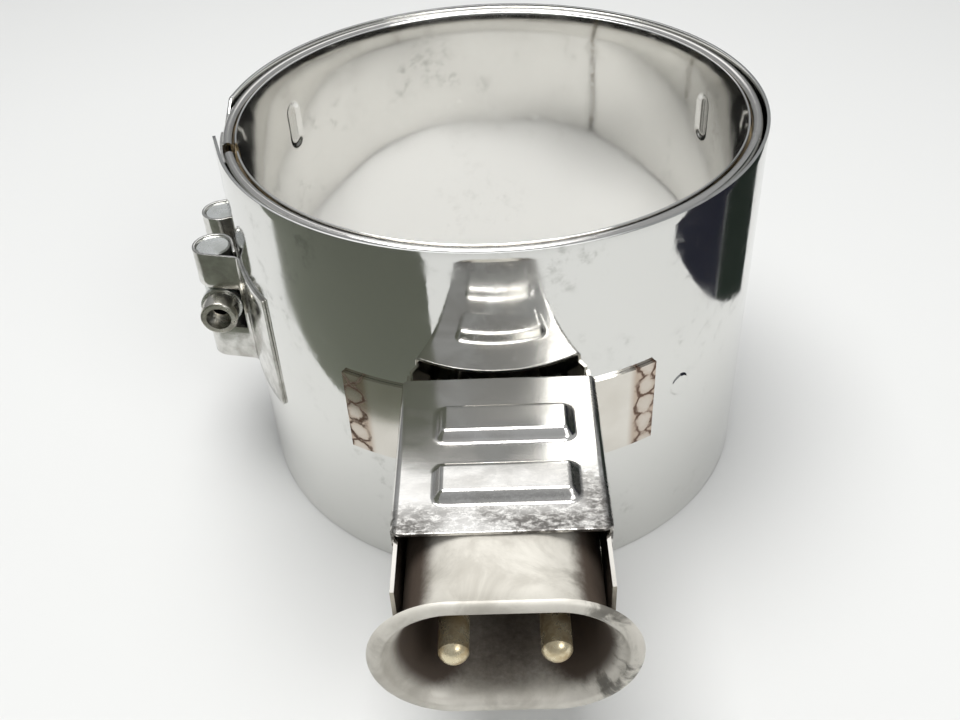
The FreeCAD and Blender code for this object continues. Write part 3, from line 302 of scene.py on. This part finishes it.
def fired_ceramic(name, light, dark):
    """Ceramic body, fired without a glaze: matt, with dust in its pores."""
    material, tree, shader, place = start_material(name, 0.0, 0.75)
    dust = mottle(tree, place, 3.5, 6, 0.7)
    shade = blend_colour(tree, ramp(tree, dust, 0.42, 0.66, 0.0, 1.0), colour(dark), colour(light))
    tree.links.new(shade, shader.inputs["Base Color"])
    raise_surface(tree, shader, mottle(tree, place, 0.8), 0.04)
    return material


def worn_nickel_brass():
    """Contact pins: brass with a thin nickel plate worn through at the domes, brown towards
    the insulator where plugs never wipe it."""
    material, tree, shader, place = start_material("worn_nickel_brass", 0.7, 0.34)
    along = add(tree, "ShaderNodeSeparateXYZ", {0: place}).outputs[1]
    patch = mottle(tree, place, 3, 5, 0.65)
    base = blend_colour(tree, ramp(tree, patch, 0.35, 0.65, 0.0, 1.0), colour("#e4d8b8"), colour("#bda983"))
    brown = ramp(tree, along, (5.2 - PLUG_REACH) * MM, (19.2 - PLUG_REACH) * MM, 0.0, 0.7)
    shade = blend_colour(tree, brown, base, colour("#8f7453"))
    tree.links.new(shade, shader.inputs["Base Color"])
    tree.links.new(ramp(tree, patch, 0.3, 0.7, 0.22, 0.42), shader.inputs["Roughness"])
    raise_surface(tree, shader, mottle(tree, place, 0.7, stretch=(1, 0.2, 1)), 0.008)
    return material


def plain_metal(name, light, dark, roughness, grain, depth):
    """Turned or plated steel: even tone with a faint cloud and the texture of its finish."""
    material, tree, shader, place = start_material(name, 1.0, roughness)
    cloud = mottle(tree, place, 6, 4, 0.6)
    shade = blend_colour(tree, ramp(tree, cloud, 0.35, 0.7, 0.0, 1.0), colour(light), colour(dark))
    tree.links.new(shade, shader.inputs["Base Color"])
    rough = ramp(tree, cloud, 0.3, 0.7, roughness - 0.06, roughness + 0.08)
    tree.links.new(rough, shader.inputs["Roughness"])
    raise_surface(tree, shader, mottle(tree, place, grain, 3), depth)
    return material


def mica_sheet():
    """Bonded mica flakes: amber-grey, slightly glossy, each flake a little different."""
    material, tree, shader, place = start_material("mica_sheet", 0.0, 0.38)
    flakes = add(tree, "ShaderNodeTexVoronoi", {"Vector": place, "Scale": 1000 / 6}).outputs["Color"]
    value = add(tree, "ShaderNodeSeparateColor", {0: flakes}).outputs[0]
    shade = blend_colour(tree, value, colour("#6f6048"), colour("#a8946f"))
    tree.links.new(shade, shader.inputs["Base Color"])
    raise_surface(tree, shader, value, 0.05)
    return material


# The strap's darker colour #74736a is partly smudges and partly painted reflection of dark surroundings.
STRAP_MIRROR = polished_stainless("strap_mirror", "#dededb", "#74736a", 0.05, 0.34, 0.45)
CASING_SHEET = polished_stainless("casing_sheet", "#dedcd8", "#6b6861", 0.13, 0.05, 0.55)
SHEATH_SHEET = polished_stainless("sheath_sheet", "#f0efec", "#a8a6a0", 0.07, 0.75, 0.40)
COVER_STEEL = scuffed_stainless()
BOX_STEEL = welded_stainless()
LUG_STEEL = plain_metal("pressed_lug_steel", "#dddcd8", "#b2b0aa", 0.17, 9, 0.05)
ZINC_STEEL = plain_metal("zinc_plated_steel", "#e6e8e6", "#c3c5c1", 0.27, 1.2, 0.004)
SCREW_STEEL = plain_metal("zinc_plated_screw", "#dad7cf", "#a29e94", 0.28, 0.8, 0.008)
SHELL_METAL = cast_aluminium()
# Insulator steatite coloured dark brown, far darker than the steatite of the sleeves.
INSULATOR = fired_ceramic("dark_brown_steatite", "#75685c", "#463b33")
SLEEVE = fired_ceramic("white_steatite", "#e2ddd2", "#c9c2b4")
PIN_METAL = worn_nickel_brass()
NICKEL = plain_metal("nickel_strip", "#c4bfb2", "#97917f", 0.3, 1.5, 0.006)
RIBBON = plain_metal("oxidised_ribbon", "#6e6a66", "#4b4846", 0.42, 2.0, 0.005)
MICA = mica_sheet()


# ---------------------------------------------------------------- pieces

def finish_piece(name, bm, material, body="heater", stands_for=(), crease=35):
    """Make a mesh piece at the origin that rides on a body."""
    for edge in bm.edges:
        angle = edge.calc_face_angle(0) if len(edge.link_faces) == 2 else 0
        edge.smooth = angle < math.radians(crease)
    mesh = bpy.data.meshes.new(name)
    bm.to_mesh(mesh)
    bm.free()
    for face in mesh.polygons:
        face.use_smooth = True
    mesh.materials.append(material)
    piece = bpy.data.objects.new(name, mesh)
    bpy.context.scene.collection.objects.link(piece)
    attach(piece, body)
    if stands_for:
        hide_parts(*stands_for)
    return piece


def thicken(piece, gauge, edge=0.0, steps=2, offset=-1.0):
    """Give a single-surface sheet its gauge and its broken edges, in millimetres."""
    wall = piece.modifiers.new("gauge", "SOLIDIFY")
    wall.thickness = gauge * MM
    wall.offset = offset
    wall.use_even_offset = True
    if edge:
        broken = piece.modifiers.new("broken_edge", "BEVEL")
        broken.width = edge * MM
        broken.segments = steps
        broken.limit_method = "ANGLE"
        broken.angle_limit = math.radians(50)
        broken.harden_normals = False
    return piece


def polar(radius, angle, height=0.0):
    """Point at a radius and bearing about the band axis, millimetres and degrees."""
    bearing = math.radians(angle)
    return Vector((radius * math.cos(bearing), radius * math.sin(bearing), height)) * MM


def chain(bm, points):
    """Open chain of edges through points."""
    verts = [bm.verts.new(point) for point in points]
    return [bm.edges.new(pair) for pair in zip(verts, verts[1:])]


def sweep(bm, edges, angle, steps, centre=(0, 0, 0), axis=UP, rise=(0, 0, 0)):
    """Spin edges about an axis and return the edges at the far end."""
    made = bmesh.ops.spin(bm, geom=edges, cent=centre, axis=axis, dvec=rise,
                          angle=math.radians(angle), steps=steps, use_merge=angle == 360)
    return [item for item in made["geom_last"] if isinstance(item, bmesh.types.BMEdge)]


def run_on(bm, edges, shift, steps=1):
    """Extrude edges along a vector and return the edges at the far end."""
    for _ in range(steps):
        made = bmesh.ops.extrude_edge_only(bm, edges=edges)["geom"]
        verts = [item for item in made if isinstance(item, bmesh.types.BMVert)]
        bmesh.ops.translate(bm, verts=verts, vec=shift / steps)
        edges = [item for item in made if isinstance(item, bmesh.types.BMEdge)
                 and all(vert in verts for vert in item.verts)]
    return edges


def smoothstep(value, low, high):
    """Share of the way from low to high, eased at both ends."""
    share = min(1.0, max(0.0, (value - low) / (high - low)))
    return share * share * (3 - 2 * share)


def press(bm, angle, rise, half_length, radius, depth, slope):
    """Press a round-ended mark into a ring: depth is outwards, lengths in millimetres."""
    centre = Vector((math.cos(math.radians(angle)), math.sin(math.radians(angle)), 0))
    side = UP.cross(centre)
    reach = radius + slope + 1.5

    def offset(point):
        across = point.dot(side) / MM
        along = max(0.0, abs(point.z / MM - rise) - half_length)
        return math.hypot(across, along) if point.dot(centre) > 0 else 1e3

    for _ in range(2):
        near = [edge for edge in bm.edges if min(offset(vert.co) for vert in edge.verts) < reach]
        bmesh.ops.subdivide_edges(bm, edges=near, cuts=2 if len(near) < 900 else 1, use_grid_fill=True)
    for vert in bm.verts:
        distance = offset(vert.co)
        if distance < reach:
            flat = Vector((vert.co.x, vert.co.y, 0))
            push = depth * MM * (1 - smoothstep(distance, radius - slope / 2, radius + slope / 2))
            vert.co += flat.normalized() * push


def levels(bottom, top, gaps, marks=()):
    """Heights from bottom to top, evenly spaced, with given marks among them."""
    even = [bottom + (top - bottom) * step / gaps for step in range(gaps + 1)]
    kept = [z for z in even if all(abs(z - mark) > 0.6 for mark in marks) or z in (bottom, top)]
    return sorted(kept + list(marks))


def cut_window(bm):
    """Opening for the leads in a ring sheet, hidden behind the box."""
    faces = []
    for face in bm.faces:
        middle = face.calc_center_median()
        tall = abs(middle.z / MM - PLUG_RISE) < WINDOW_HALF_HEIGHT
        if tall and abs(middle.x / MM) < WINDOW_HALF_WIDTH and middle.y < 0:
            faces.append(face)
    bmesh.ops.delete(bm, geom=faces, context="FACES")


def turn_outward(bm):
    """Make the faces of an open ring sheet look away from the band axis."""
    bmesh.ops.recalc_face_normals(bm, faces=bm.faces[:])
    facing = sum(face.normal.dot(face.calc_center_median()) * face.calc_area() for face in bm.faces)
    if facing < 0:
        bmesh.ops.reverse_faces(bm, faces=bm.faces[:])


def make_strap():
    """Mirror-polished strap: round over the heater, straight at both ends."""
    bm = bmesh.new()
    window = (PLUG_RISE - WINDOW_HALF_HEIGHT, PLUG_RISE + WINDOW_HALF_HEIGHT)
    heights = levels(-HALF_STRAP, HALF_STRAP, 44, window)
    start = chain(bm, [polar(STRAP_RADIUS, STRAP_START, z) for z in heights])
    rear = sweep(bm, start, STRAP_ARC, 330)
    front_way = Vector((math.sin(math.radians(STRAP_START)), -math.cos(math.radians(STRAP_START)), 0))
    rear_bearing = math.radians(STRAP_START + STRAP_ARC)
    rear_way = Vector((-math.sin(rear_bearing), math.cos(rear_bearing), 0))
    for edges, way, corner in ((start, front_way, 2.0), (rear, rear_way, 7.0)):
        body_end = run_on(bm, edges, way * (STRAP_TAIL - corner) * MM, 4)
        tip = run_on(bm, body_end, way * corner * MM, 1)
        verts = {vert for edge in tip for vert in edge.verts}
        for vert in verts:
            vert.co.z *= (HALF_STRAP - corner) / HALF_STRAP
    cut_window(bm)
    turn_outward(bm)
    press(bm, STRAP_MARK_ANGLE, 0, 0.0, 2.9, 0.40, 0.5)
    piece = finish_piece("strap_sheet", bm, STRAP_MIRROR, stands_for=("clamp_strap",))
    return thicken(piece, STRAP_GAUGE, 0.16)


def make_strap_beads():
    """Rolled bead behind each strap end, over the height of the lugs."""
    bm = bmesh.new()
    for bearing, ahead in ((STRAP_START, -1), (STRAP_START + STRAP_ARC, 1)):
        base = polar(STRAP_RADIUS - STRAP_GAUGE - 0.05, bearing)
        way = Vector((-math.sin(math.radians(bearing)), math.cos(math.radians(bearing)), 0))
        centre = base + way * ahead * STRAP_TAIL * MM + UP * CLAMP_RISE * MM
        made = bmesh.ops.create_cone(
            bm, cap_ends=True, segments=24, radius1=BEAD_RADIUS * MM, radius2=BEAD_RADIUS * MM,
            depth=2 * LUG_HALF_HEIGHT * MM, matrix=Matrix.Translation(centre))
        rims = [edge for edge in bm.edges if len(edge.verts[0].link_edges) == 3
                and all(vert in made["verts"] for vert in edge.verts)
                and abs(edge.verts[0].co.z - edge.verts[1].co.z) < 1e-6]
        bmesh.ops.bevel(bm, geom=rims, offset=0.2 * MM, segments=2, profile=0.5, affect="EDGES", material=-1)
    return finish_piece("strap_end_beads", bm, LUG_STEEL)


def ring_profile(points, bearing):
    """Points of a section, given as (radius, height), at one bearing."""
    return [polar(radius, bearing, height) for radius, height in points]


def close_ends(bm):
    """Fill the open ends of a swept section."""
    bmesh.ops.holes_fill(bm, edges=[edge for edge in bm.edges if edge.is_boundary], sides=400)


def make_ring(name, section, start, arc, steps, material, stands_for=(), marks=()):
    """Sweep a closed section round the band and close its two ends."""
    bm = bmesh.new()
    edges = chain(bm, ring_profile(section + section[:1], start))
    bmesh.ops.remove_doubles(bm, verts=bm.verts[:], dist=1e-7)
    sweep(bm, bm.edges[:], arc, steps)
    close_ends(bm)
    for mark in marks:
        press(bm, *mark)
    bmesh.ops.recalc_face_normals(bm, faces=bm.faces[:])
    return finish_piece(name, bm, material, stands_for=stands_for, crease=40)


def arc_points(centre, radius, start, end, steps):
    """Points of an arc in a section, as (radius from the axis, height)."""
    turns = [math.radians(start + (end - start) * step / steps) for step in range(steps + 1)]
    return [(centre[0] + radius * math.cos(turn), centre[1] + radius * math.sin(turn)) for turn in turns]


def make_casing():
    """Casing with rolled rims at both edges and its tongue across the split."""
    centre = CASING_RADIUS - HEM_RADIUS
    root = HALF_BAND - HEM_RADIUS
    inner = CASING_RADIUS - SHEET_GAUGE
    face = CASING_RADIUS - 2 * HEM_RADIUS
    outer_arc = arc_points((centre, root), HEM_RADIUS, 0, 180, 12)
    inner_arc = arc_points((centre, root), HEM_RADIUS - SHEET_GAUGE, 180, 0, 8)
    leg = [(face, root - 1.0), (face + SHEET_GAUGE, root - 1.0)]
    wall = [(inner, z) for z in (root - 6, 16, 0)]
    upper = outer_arc + leg + inner_arc + wall
    lower = [(radius, -height) for radius, height in reversed(upper[:-1])]
    outside = [(CASING_RADIUS, z) for z in (-root + 6, -16, 0, 16, root - 6)]
    make_ring("casing_sheet", upper + lower + outside, HEATER_START, HEATER_ARC, 356, CASING_SHEET,
              ("outer_casing",))
    low, high = CASING_RADIUS + 0.05, CASING_RADIUS + 0.65
    lap = [(low, -root), (high, -root), (high, root), (low, root)]
    make_ring("casing_lap", lap, HEATER_START + 2.4, -14.0, 14, CASING_SHEET)


def make_sheath():
    """Bore sheet with a flared lip at each edge and two pressed locating marks."""
    lip = 3.0
    flare = 0.25
    body = SHEATH_TOP - lip
    outer = BORE_RADIUS + SHEET_GAUGE
    face = [(BORE_RADIUS, z) for z in levels(-body, body, 24)]
    crown = arc_points((BORE_RADIUS + flare + SHEET_GAUGE / 2, SHEATH_TOP - 0.3), 0.3, 180, 0, 6)
    foot = [(radius, -height) for radius, height in reversed(crown)]
    back = [(outer, z) for z in (body, 0, -body)]
    section = face + crown + back + foot
    marks = [(87.5 + side * 65, DIMPLE_RISE, 4.0, 2.4, 0.6, 1.6) for side in (-1, 1)]
    make_ring("sheath_sheet", section, HEATER_START, HEATER_ARC, 356, SHEATH_SHEET,
              ("inner_sheath",), marks)


def make_lug(side):
    """Lug: leg on the strap, bend, rise, loop round the barrel and return leg."""
    name = "front_lug" if side > 0 else "rear_lug"
    turn = 1 if side > 0 else -1
    heights = levels(-LUG_HALF_HEIGHT, LUG_HALF_HEIGHT, 8, (-LUG_WINDOW, LUG_WINDOW))
    mid = STRAP_RADIUS + LUG_GAUGE / 2
    leave = CLAMP_ANGLE + side * 15
    begin = leave + side * 17
    bm = bmesh.new()
    edges = chain(bm, [polar(mid, begin, CLAMP_RISE + z) for z in heights])
    edges = sweep(bm, edges, -17 * turn, 16)
    bearing = math.radians(leave)
    out = Vector((math.cos(bearing), math.sin(bearing), 0))
    ahead = Vector((math.sin(bearing), -math.cos(bearing), 0)) * turn
    edges = run_on(bm, edges, ahead * 0.3 * MM)
    place = polar(mid, leave) + ahead * 0.3 * MM
    bend = 3.0 * MM
    rise = math.radians(60)
    centre = place + out * bend
    edges = sweep(bm, edges, 60 * turn, 12, centre)
    loop = 5.1 * MM
    height = (6.1 - 0.4) * MM + loop * math.cos(rise) - bend * (1 - math.cos(rise))
    climb = ahead * math.cos(rise) + out * math.sin(rise)
    length = height / math.sin(rise)
    edges = run_on(bm, edges, climb * length, 3)
    place += ahead * bend * math.sin(rise) + out * bend * (1 - math.cos(rise)) + climb * length
    centre = place + (ahead * math.sin(rise) - out * math.cos(rise)) * loop
    edges = sweep(bm, edges, -240 * turn, 40, centre)
    run_on(bm, edges, -ahead * 6.0 * MM, 2)
    holes = []
    for face in bm.faces:
        middle = face.calc_center_median()
        outward = middle.dot(out) / MM - STRAP_RADIUS
        if abs(middle.z / MM - CLAMP_RISE) < LUG_WINDOW and outward > 1.6:
            holes.append(face)
    bmesh.ops.delete(bm, geom=holes, context="FACES")
    bmesh.ops.recalc_face_normals(bm, faces=bm.faces[:])
    piece = finish_piece(name + "_strip", bm, LUG_STEEL, stands_for=(name,), crease=50)
    return thicken(piece, LUG_GAUGE, 0.12, offset=0.0)


def make_screw():
    """Socket-head screw, plain at the head, with its rolled thread as a piece of its own."""
    bearing = math.radians(CLAMP_ANGLE + 90)
    axis = Vector((math.cos(bearing), math.sin(bearing), 0))
    washer_low, washer_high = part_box("screw_washer")
    seat = (washer_low + washer_high) / 2 + axis * HALF_WASHER * MM
    place = Matrix.Translation(seat) @ UP.rotation_difference(axis).to_matrix().to_4x4()
    bm = bmesh.new()
    section = [(0, -35), (2.2, -35), (2.9, -34.2), (2.9, 0), (4.8, 0), (5.0, 0.25), (5.0, 5.3), (4.85, 5.75),
               (4.5, 6.0), (3.35, 6.0)]
    edges = chain(bm, [Vector((radius, 0, height)) * MM for radius, height in section])
    sweep(bm, edges, 360, 48)
    bmesh.ops.remove_doubles(bm, verts=bm.verts[:], dist=1e-6)
    rim = [edge for edge in bm.edges if edge.is_boundary]
    socket = bmesh.ops.create_circle(bm, cap_ends=False, segments=6, radius=HEX_FLATS / math.sqrt(3) * MM,
                                     matrix=Matrix.Translation(Vector((0, 0, 5.75 * MM))))
    hexagon = list({edge for vert in socket["verts"] for edge in vert.link_edges})
    bmesh.ops.subdivide_edges(bm, edges=hexagon, cuts=7)
    hexagon = [edge for edge in bm.edges if edge.is_boundary and edge not in rim]
    bmesh.ops.bridge_loops(bm, edges=rim + hexagon)
    floor = run_on(bm, hexagon, Vector((0, 0, -3.0 * MM)))
    bmesh.ops.edgeloop_fill(bm, edges=floor)
    bmesh.ops.recalc_face_normals(bm, faces=bm.faces[:])
    bmesh.ops.transform(bm, verts=bm.verts[:], matrix=place)
    finish_piece("screw_body", bm, SCREW_STEEL, body="screw", stands_for=("clamp_screw",))
    thread = bmesh.new()
    ridge = [(2.55, -34.6), (3.0, -34.25), (3.0, -34.12), (2.55, -33.75)]
    edges = chain(thread, [Vector((radius, 0, height)) * MM for radius, height in ridge])
    turns = 22
    steps = 28
    sweep(thread, edges, 360 * turns, steps * turns, rise=UP * SCREW_PITCH * MM / steps)
    bmesh.ops.recalc_face_normals(thread, faces=thread.faces[:])
    bmesh.ops.transform(thread, verts=thread.verts[:], matrix=place)
    finish_piece("screw_thread", thread, SCREW_STEEL, body="screw", crease=60)


def make_cover():
    """Cover plate: one sheet, ribs pressed first, then both sides folded down."""
    top = COVER_TOP + PLUG_RISE
    pull = COVER_HALF_FLAT
    fold = COVER_FOLD
    quarter = fold * math.pi / 2
    flat = pull + quarter + (COVER_SKIRT - fold)
    corner = COVER_CORNER
    blend = 2 * corner + 0.2
    front = -(BOX_BACK + BOX_LENGTH)
    bm = bmesh.new()
    bmesh.ops.create_grid(bm, x_segments=136, y_segments=84, size=0.5)
    for vert in bm.verts:
        along = vert.co.x * 2 * flat
        y = front + (vert.co.y + 0.5) * BOX_LENGTH
        lift = 0.0
        for row in RIB_ROWS:
            dx = abs(along - RIB_SHIFT) - (RIB_HALF_SIZE[0] - RIB_SLOPE)
            dy = abs(y + row) - (RIB_HALF_SIZE[1] - RIB_SLOPE)
            gap = math.hypot(max(dx, 0), max(dy, 0)) + min(max(dx, dy), 0)
            lift = max(lift, RIB_RISE * (1 - smoothstep(gap, 0.2, RIB_SLOPE)))
        side = math.copysign(1, along)
        reach = abs(along)
        if reach <= pull:
            x, z = reach, top + lift
        elif reach <= pull + quarter:
            turn = (reach - pull) / fold
            x, z = pull + fold * math.sin(turn), top - fold * (1 - math.cos(turn))
        else:
            x, z = pull + fold, top - fold - (reach - pull - quarter)
        over = x - (pull + fold - corner)
        if over > 0 and y < front + blend:
            edge = front + corner - math.sqrt(max(0, corner ** 2 - over ** 2))
            y = edge + (y - front) * (front + blend - edge) / blend
        vert.co = Vector((side * x, y, z)) * MM
    bmesh.ops.recalc_face_normals(bm, faces=bm.faces[:])
    upward = sum(face.normal.z * face.calc_area() for face in bm.faces)
    if upward < 0:
        bmesh.ops.reverse_faces(bm, faces=bm.faces[:])
    piece = finish_piece("cover_sheet", bm, COVER_STEEL, stands_for=("hood_cover",),
                         crease=60)
    return thicken(piece, BOX_GAUGE, 0.14)


def stadium_loop(bm, y, half_width, half_height, segments=96):
    """Loop with round ends, upright across the plug, at a distance from the band axis."""
    matrix = Matrix.Rotation(math.radians(90), 4, "X") @ Matrix.Rotation(math.pi / segments, 4, "Z")
    made = bmesh.ops.create_circle(bm, cap_ends=False, segments=segments, radius=half_height * MM,
                                   matrix=matrix)
    for vert in made["verts"]:
        vert.co.x += math.copysign((half_width - half_height) * MM, vert.co.x)
    bmesh.ops.translate(bm, verts=made["verts"], vec=Vector((0, -y * MM, PLUG_RISE * MM)))
    return list({edge for vert in made["verts"] for edge in vert.link_edges})


def make_shell():
    """Oval plug shell: straight neck, trumpet mouth, rounded lip and tapering inside."""
    stations = [(SHELL_BACK, 20.0, 14.6), (104.0, 20.0, 14.6), (118.0, 20.0, 14.6), (128.5, 20.0, 14.6)]
    start = PLUG_REACH - 6.2
    for step in range(1, 9):
        turn = math.radians(90 * step / 8)
        open_up = 1 - math.cos(turn)
        stations.append((start + 4.9 * math.sin(turn), 20 + 6.3 * open_up, 14.6 + 2.1 * open_up))
    lip = [(0.25, 26.25, 16.68), (0.7, 26.0, 16.5), (1.05, 25.5, 16.1), (1.25, 24.9, 15.55),
           (1.3, 24.3, 14.95), (1.2, 23.75, 14.4), (0.95, 23.3, 13.95)]
    stations += [(PLUG_REACH - 1.3 + ahead, width, height) for ahead, width, height in lip]
    for step in range(8):
        turn = math.radians(90 * step / 8)
        open_up = 1 - math.sin(turn)
        depth = 1.2 + 7.5 * (1 - math.cos(turn)) + 0.4 * step
        stations.append((PLUG_REACH - depth, 18.2 + 4.85 * open_up, 12.8 + 0.95 * open_up))
    stations += [(118.0, 18.2, 12.8), (112.0, 18.2, 12.8), (SHELL_BACK, 18.2, 12.8)]
    bm = bmesh.new()
    loops = [stadium_loop(bm, *station) for station in stations]
    for near, far in zip(loops, loops[1:]):
        bmesh.ops.bridge_loops(bm, edges=near + far)
    bmesh.ops.bridge_loops(bm, edges=loops[-1] + loops[0])
    bmesh.ops.recalc_face_normals(bm, faces=bm.faces[:])
    finish_piece("shell_casting", bm, SHELL_METAL, stands_for=("plug_shell",), crease=60)


def dress_nodes():
    """Finishes of the solids that show as they are."""
    finishes = {
        MICA: ("mica_inner", "mica_core", "mica_outer"),
        RIBBON: ("resistance_ribbon",),
        ZINC_STEEL: ("front_barrel", "rear_barrel", "screw_washer"),
        BOX_STEEL: ("terminal_channel", "hood_rivets"),
        INSULATOR: ("plug_insulator",),
        SLEEVE: ("lead_sleeves",),
        PIN_METAL: ("contact_pin_left", "contact_pin_right"),
        NICKEL: ("pin_washers", "pin_nuts", "left_lead", "right_lead"),
    }
    for material, names in finishes.items():
        for name in names:
            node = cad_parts[name]
            node.data.materials.clear()
            node.data.materials.append(material)


# ---------------------------------------------------------------- studio

def set_stage(name, bm, roughness, shade):
    """Plain matt sheet that belongs to the studio and not to the heater."""
    mesh = bpy.data.meshes.new(name)
    bm.to_mesh(mesh)
    bm.free()
    material, _, shader, _ = start_material(name, 0.0, roughness)
    shader.inputs["Base Color"].default_value = colour(shade)
    mesh.materials.append(material)
    sheet = bpy.data.objects.new(name, mesh)
    bpy.context.scene.collection.objects.link(sheet)
    return sheet


def make_floor():
    """Plain pale floor that the heater stands on."""
    bm = bmesh.new()
    bmesh.ops.create_grid(bm, x_segments=1, y_segments=1, size=12.0,
                          matrix=Matrix.Translation(Vector((0, 0, cad_low.z - 0.0001))))
    set_stage("studio_floor", bm, 0.7, "#dcdcda")


def make_lamp(name, place, aim, size, power, tint="#ffffff"):
    """Square soft lamp at a point in metres, turned to another."""
    data = bpy.data.lights.new(name, "AREA")
    data.shape = "SQUARE"
    data.size = size
    data.energy = power
    data.color = colour(tint)[:3]
    lamp = bpy.data.objects.new(name, data)
    lamp.location = place
    lamp.rotation_mode = "QUATERNION"
    lamp.rotation_quaternion = (Vector(aim) - Vector(place)).to_track_quat("-Z", "Y")
    bpy.context.scene.collection.objects.link(lamp)


def make_flag(name, foot, turn, width, height, shade):
    """Dark flag standing beside the heater: only polished metal mirrors it, as its dark edge."""
    bm = bmesh.new()
    bmesh.ops.create_grid(bm, x_segments=1, y_segments=1, size=0.5)
    bmesh.ops.scale(bm, verts=bm.verts[:], vec=Vector((width, height, 1)))
    bmesh.ops.rotate(bm, verts=bm.verts[:], matrix=Matrix.Rotation(math.radians(90), 3, "X"))
    bmesh.ops.rotate(bm, verts=bm.verts[:], matrix=Matrix.Rotation(math.radians(turn), 3, "Z"))
    bmesh.ops.translate(bm, verts=bm.verts[:], vec=Vector((foot[0], foot[1], cad_low.z + height / 2)))
    flag = set_stage(name, bm, 0.9, shade)
    flag.visible_camera = False
    flag.visible_diffuse = False
    flag.visible_shadow = False
    flag.visible_transmission = False


def make_world():
    """Even studio surroundings, lighter overhead than at the sides."""
    world = bpy.data.worlds.new("studio")
    world.use_nodes = True
    tree = world.node_tree
    background = tree.nodes["Background"]
    place = add(tree, "ShaderNodeTexCoord").outputs["Generated"]
    height = add(tree, "ShaderNodeSeparateXYZ", {0: place}).outputs[2]
    shade = blend_colour(tree, ramp(tree, height, -0.1, 0.9, 0.0, 1.0), colour("#a2a4a6"), colour("#d3d5d7"))
    tree.links.new(shade, background.inputs["Color"])
    background.inputs["Strength"].default_value = 0.62
    bpy.context.scene.world = world


def make_camera():
    """Camera that looks down on the plug side of the heater."""
    yaw, pitch, roll = (math.radians(angle) for angle in (-1.947, 38.858, -3.127))
    ahead = Vector((math.sin(yaw) * math.cos(pitch), math.cos(yaw) * math.cos(pitch), -math.sin(pitch)))
    right = Vector((math.cos(yaw), -math.sin(yaw), 0))
    over = right.cross(ahead)
    turned_right = right * math.cos(roll) + over * math.sin(roll)
    turned_up = over * math.cos(roll) - right * math.sin(roll)
    data = bpy.data.cameras.new("view")
    data.sensor_width = 36
    data.lens = 39.75
    data.clip_start = 0.01
    data.clip_end = 20
    camera = bpy.data.objects.new("view", data)
    place = Vector((2.34, -255.1, 171.1)) * MM
    axes = Matrix((turned_right, turned_up, -ahead)).transposed().to_4x4()
    camera.matrix_world = Matrix.Translation(place) @ axes
    bpy.context.scene.collection.objects.link(camera)
    bpy.context.scene.camera = camera


make_strap()
make_strap_beads()
make_casing()
make_sheath()
make_lug(1)
make_lug(-1)
make_screw()
make_cover()
make_shell()
dress_nodes()
make_floor()
make_flag("left_flag", (-0.102, -0.074), -42, 0.153, 0.16, "#8d9184")
make_flag("right_front_flag", (0.164, -0.049), -63, 0.082, 0.16, "#14162a")
make_flag("right_rear_flag", (0.133, 0.012), -63, 0.054, 0.16, "#16241b")
make_lamp("overhead_softbox", (-0.12, 0.02, 0.95), (0, 0.02, 0), 0.6, 8.6)
make_lamp("front_softbox", (0.55, -0.75, 0.75), (0, -0.05, 0), 0.5, 3.6)
make_lamp("rear_softbox", (-0.10, 0.95, 0.95), (0, -0.09, 0.02), 0.62, 1.1)
make_world()
make_camera()
bpy.context.scene.view_settings.view_transform = "Standard"
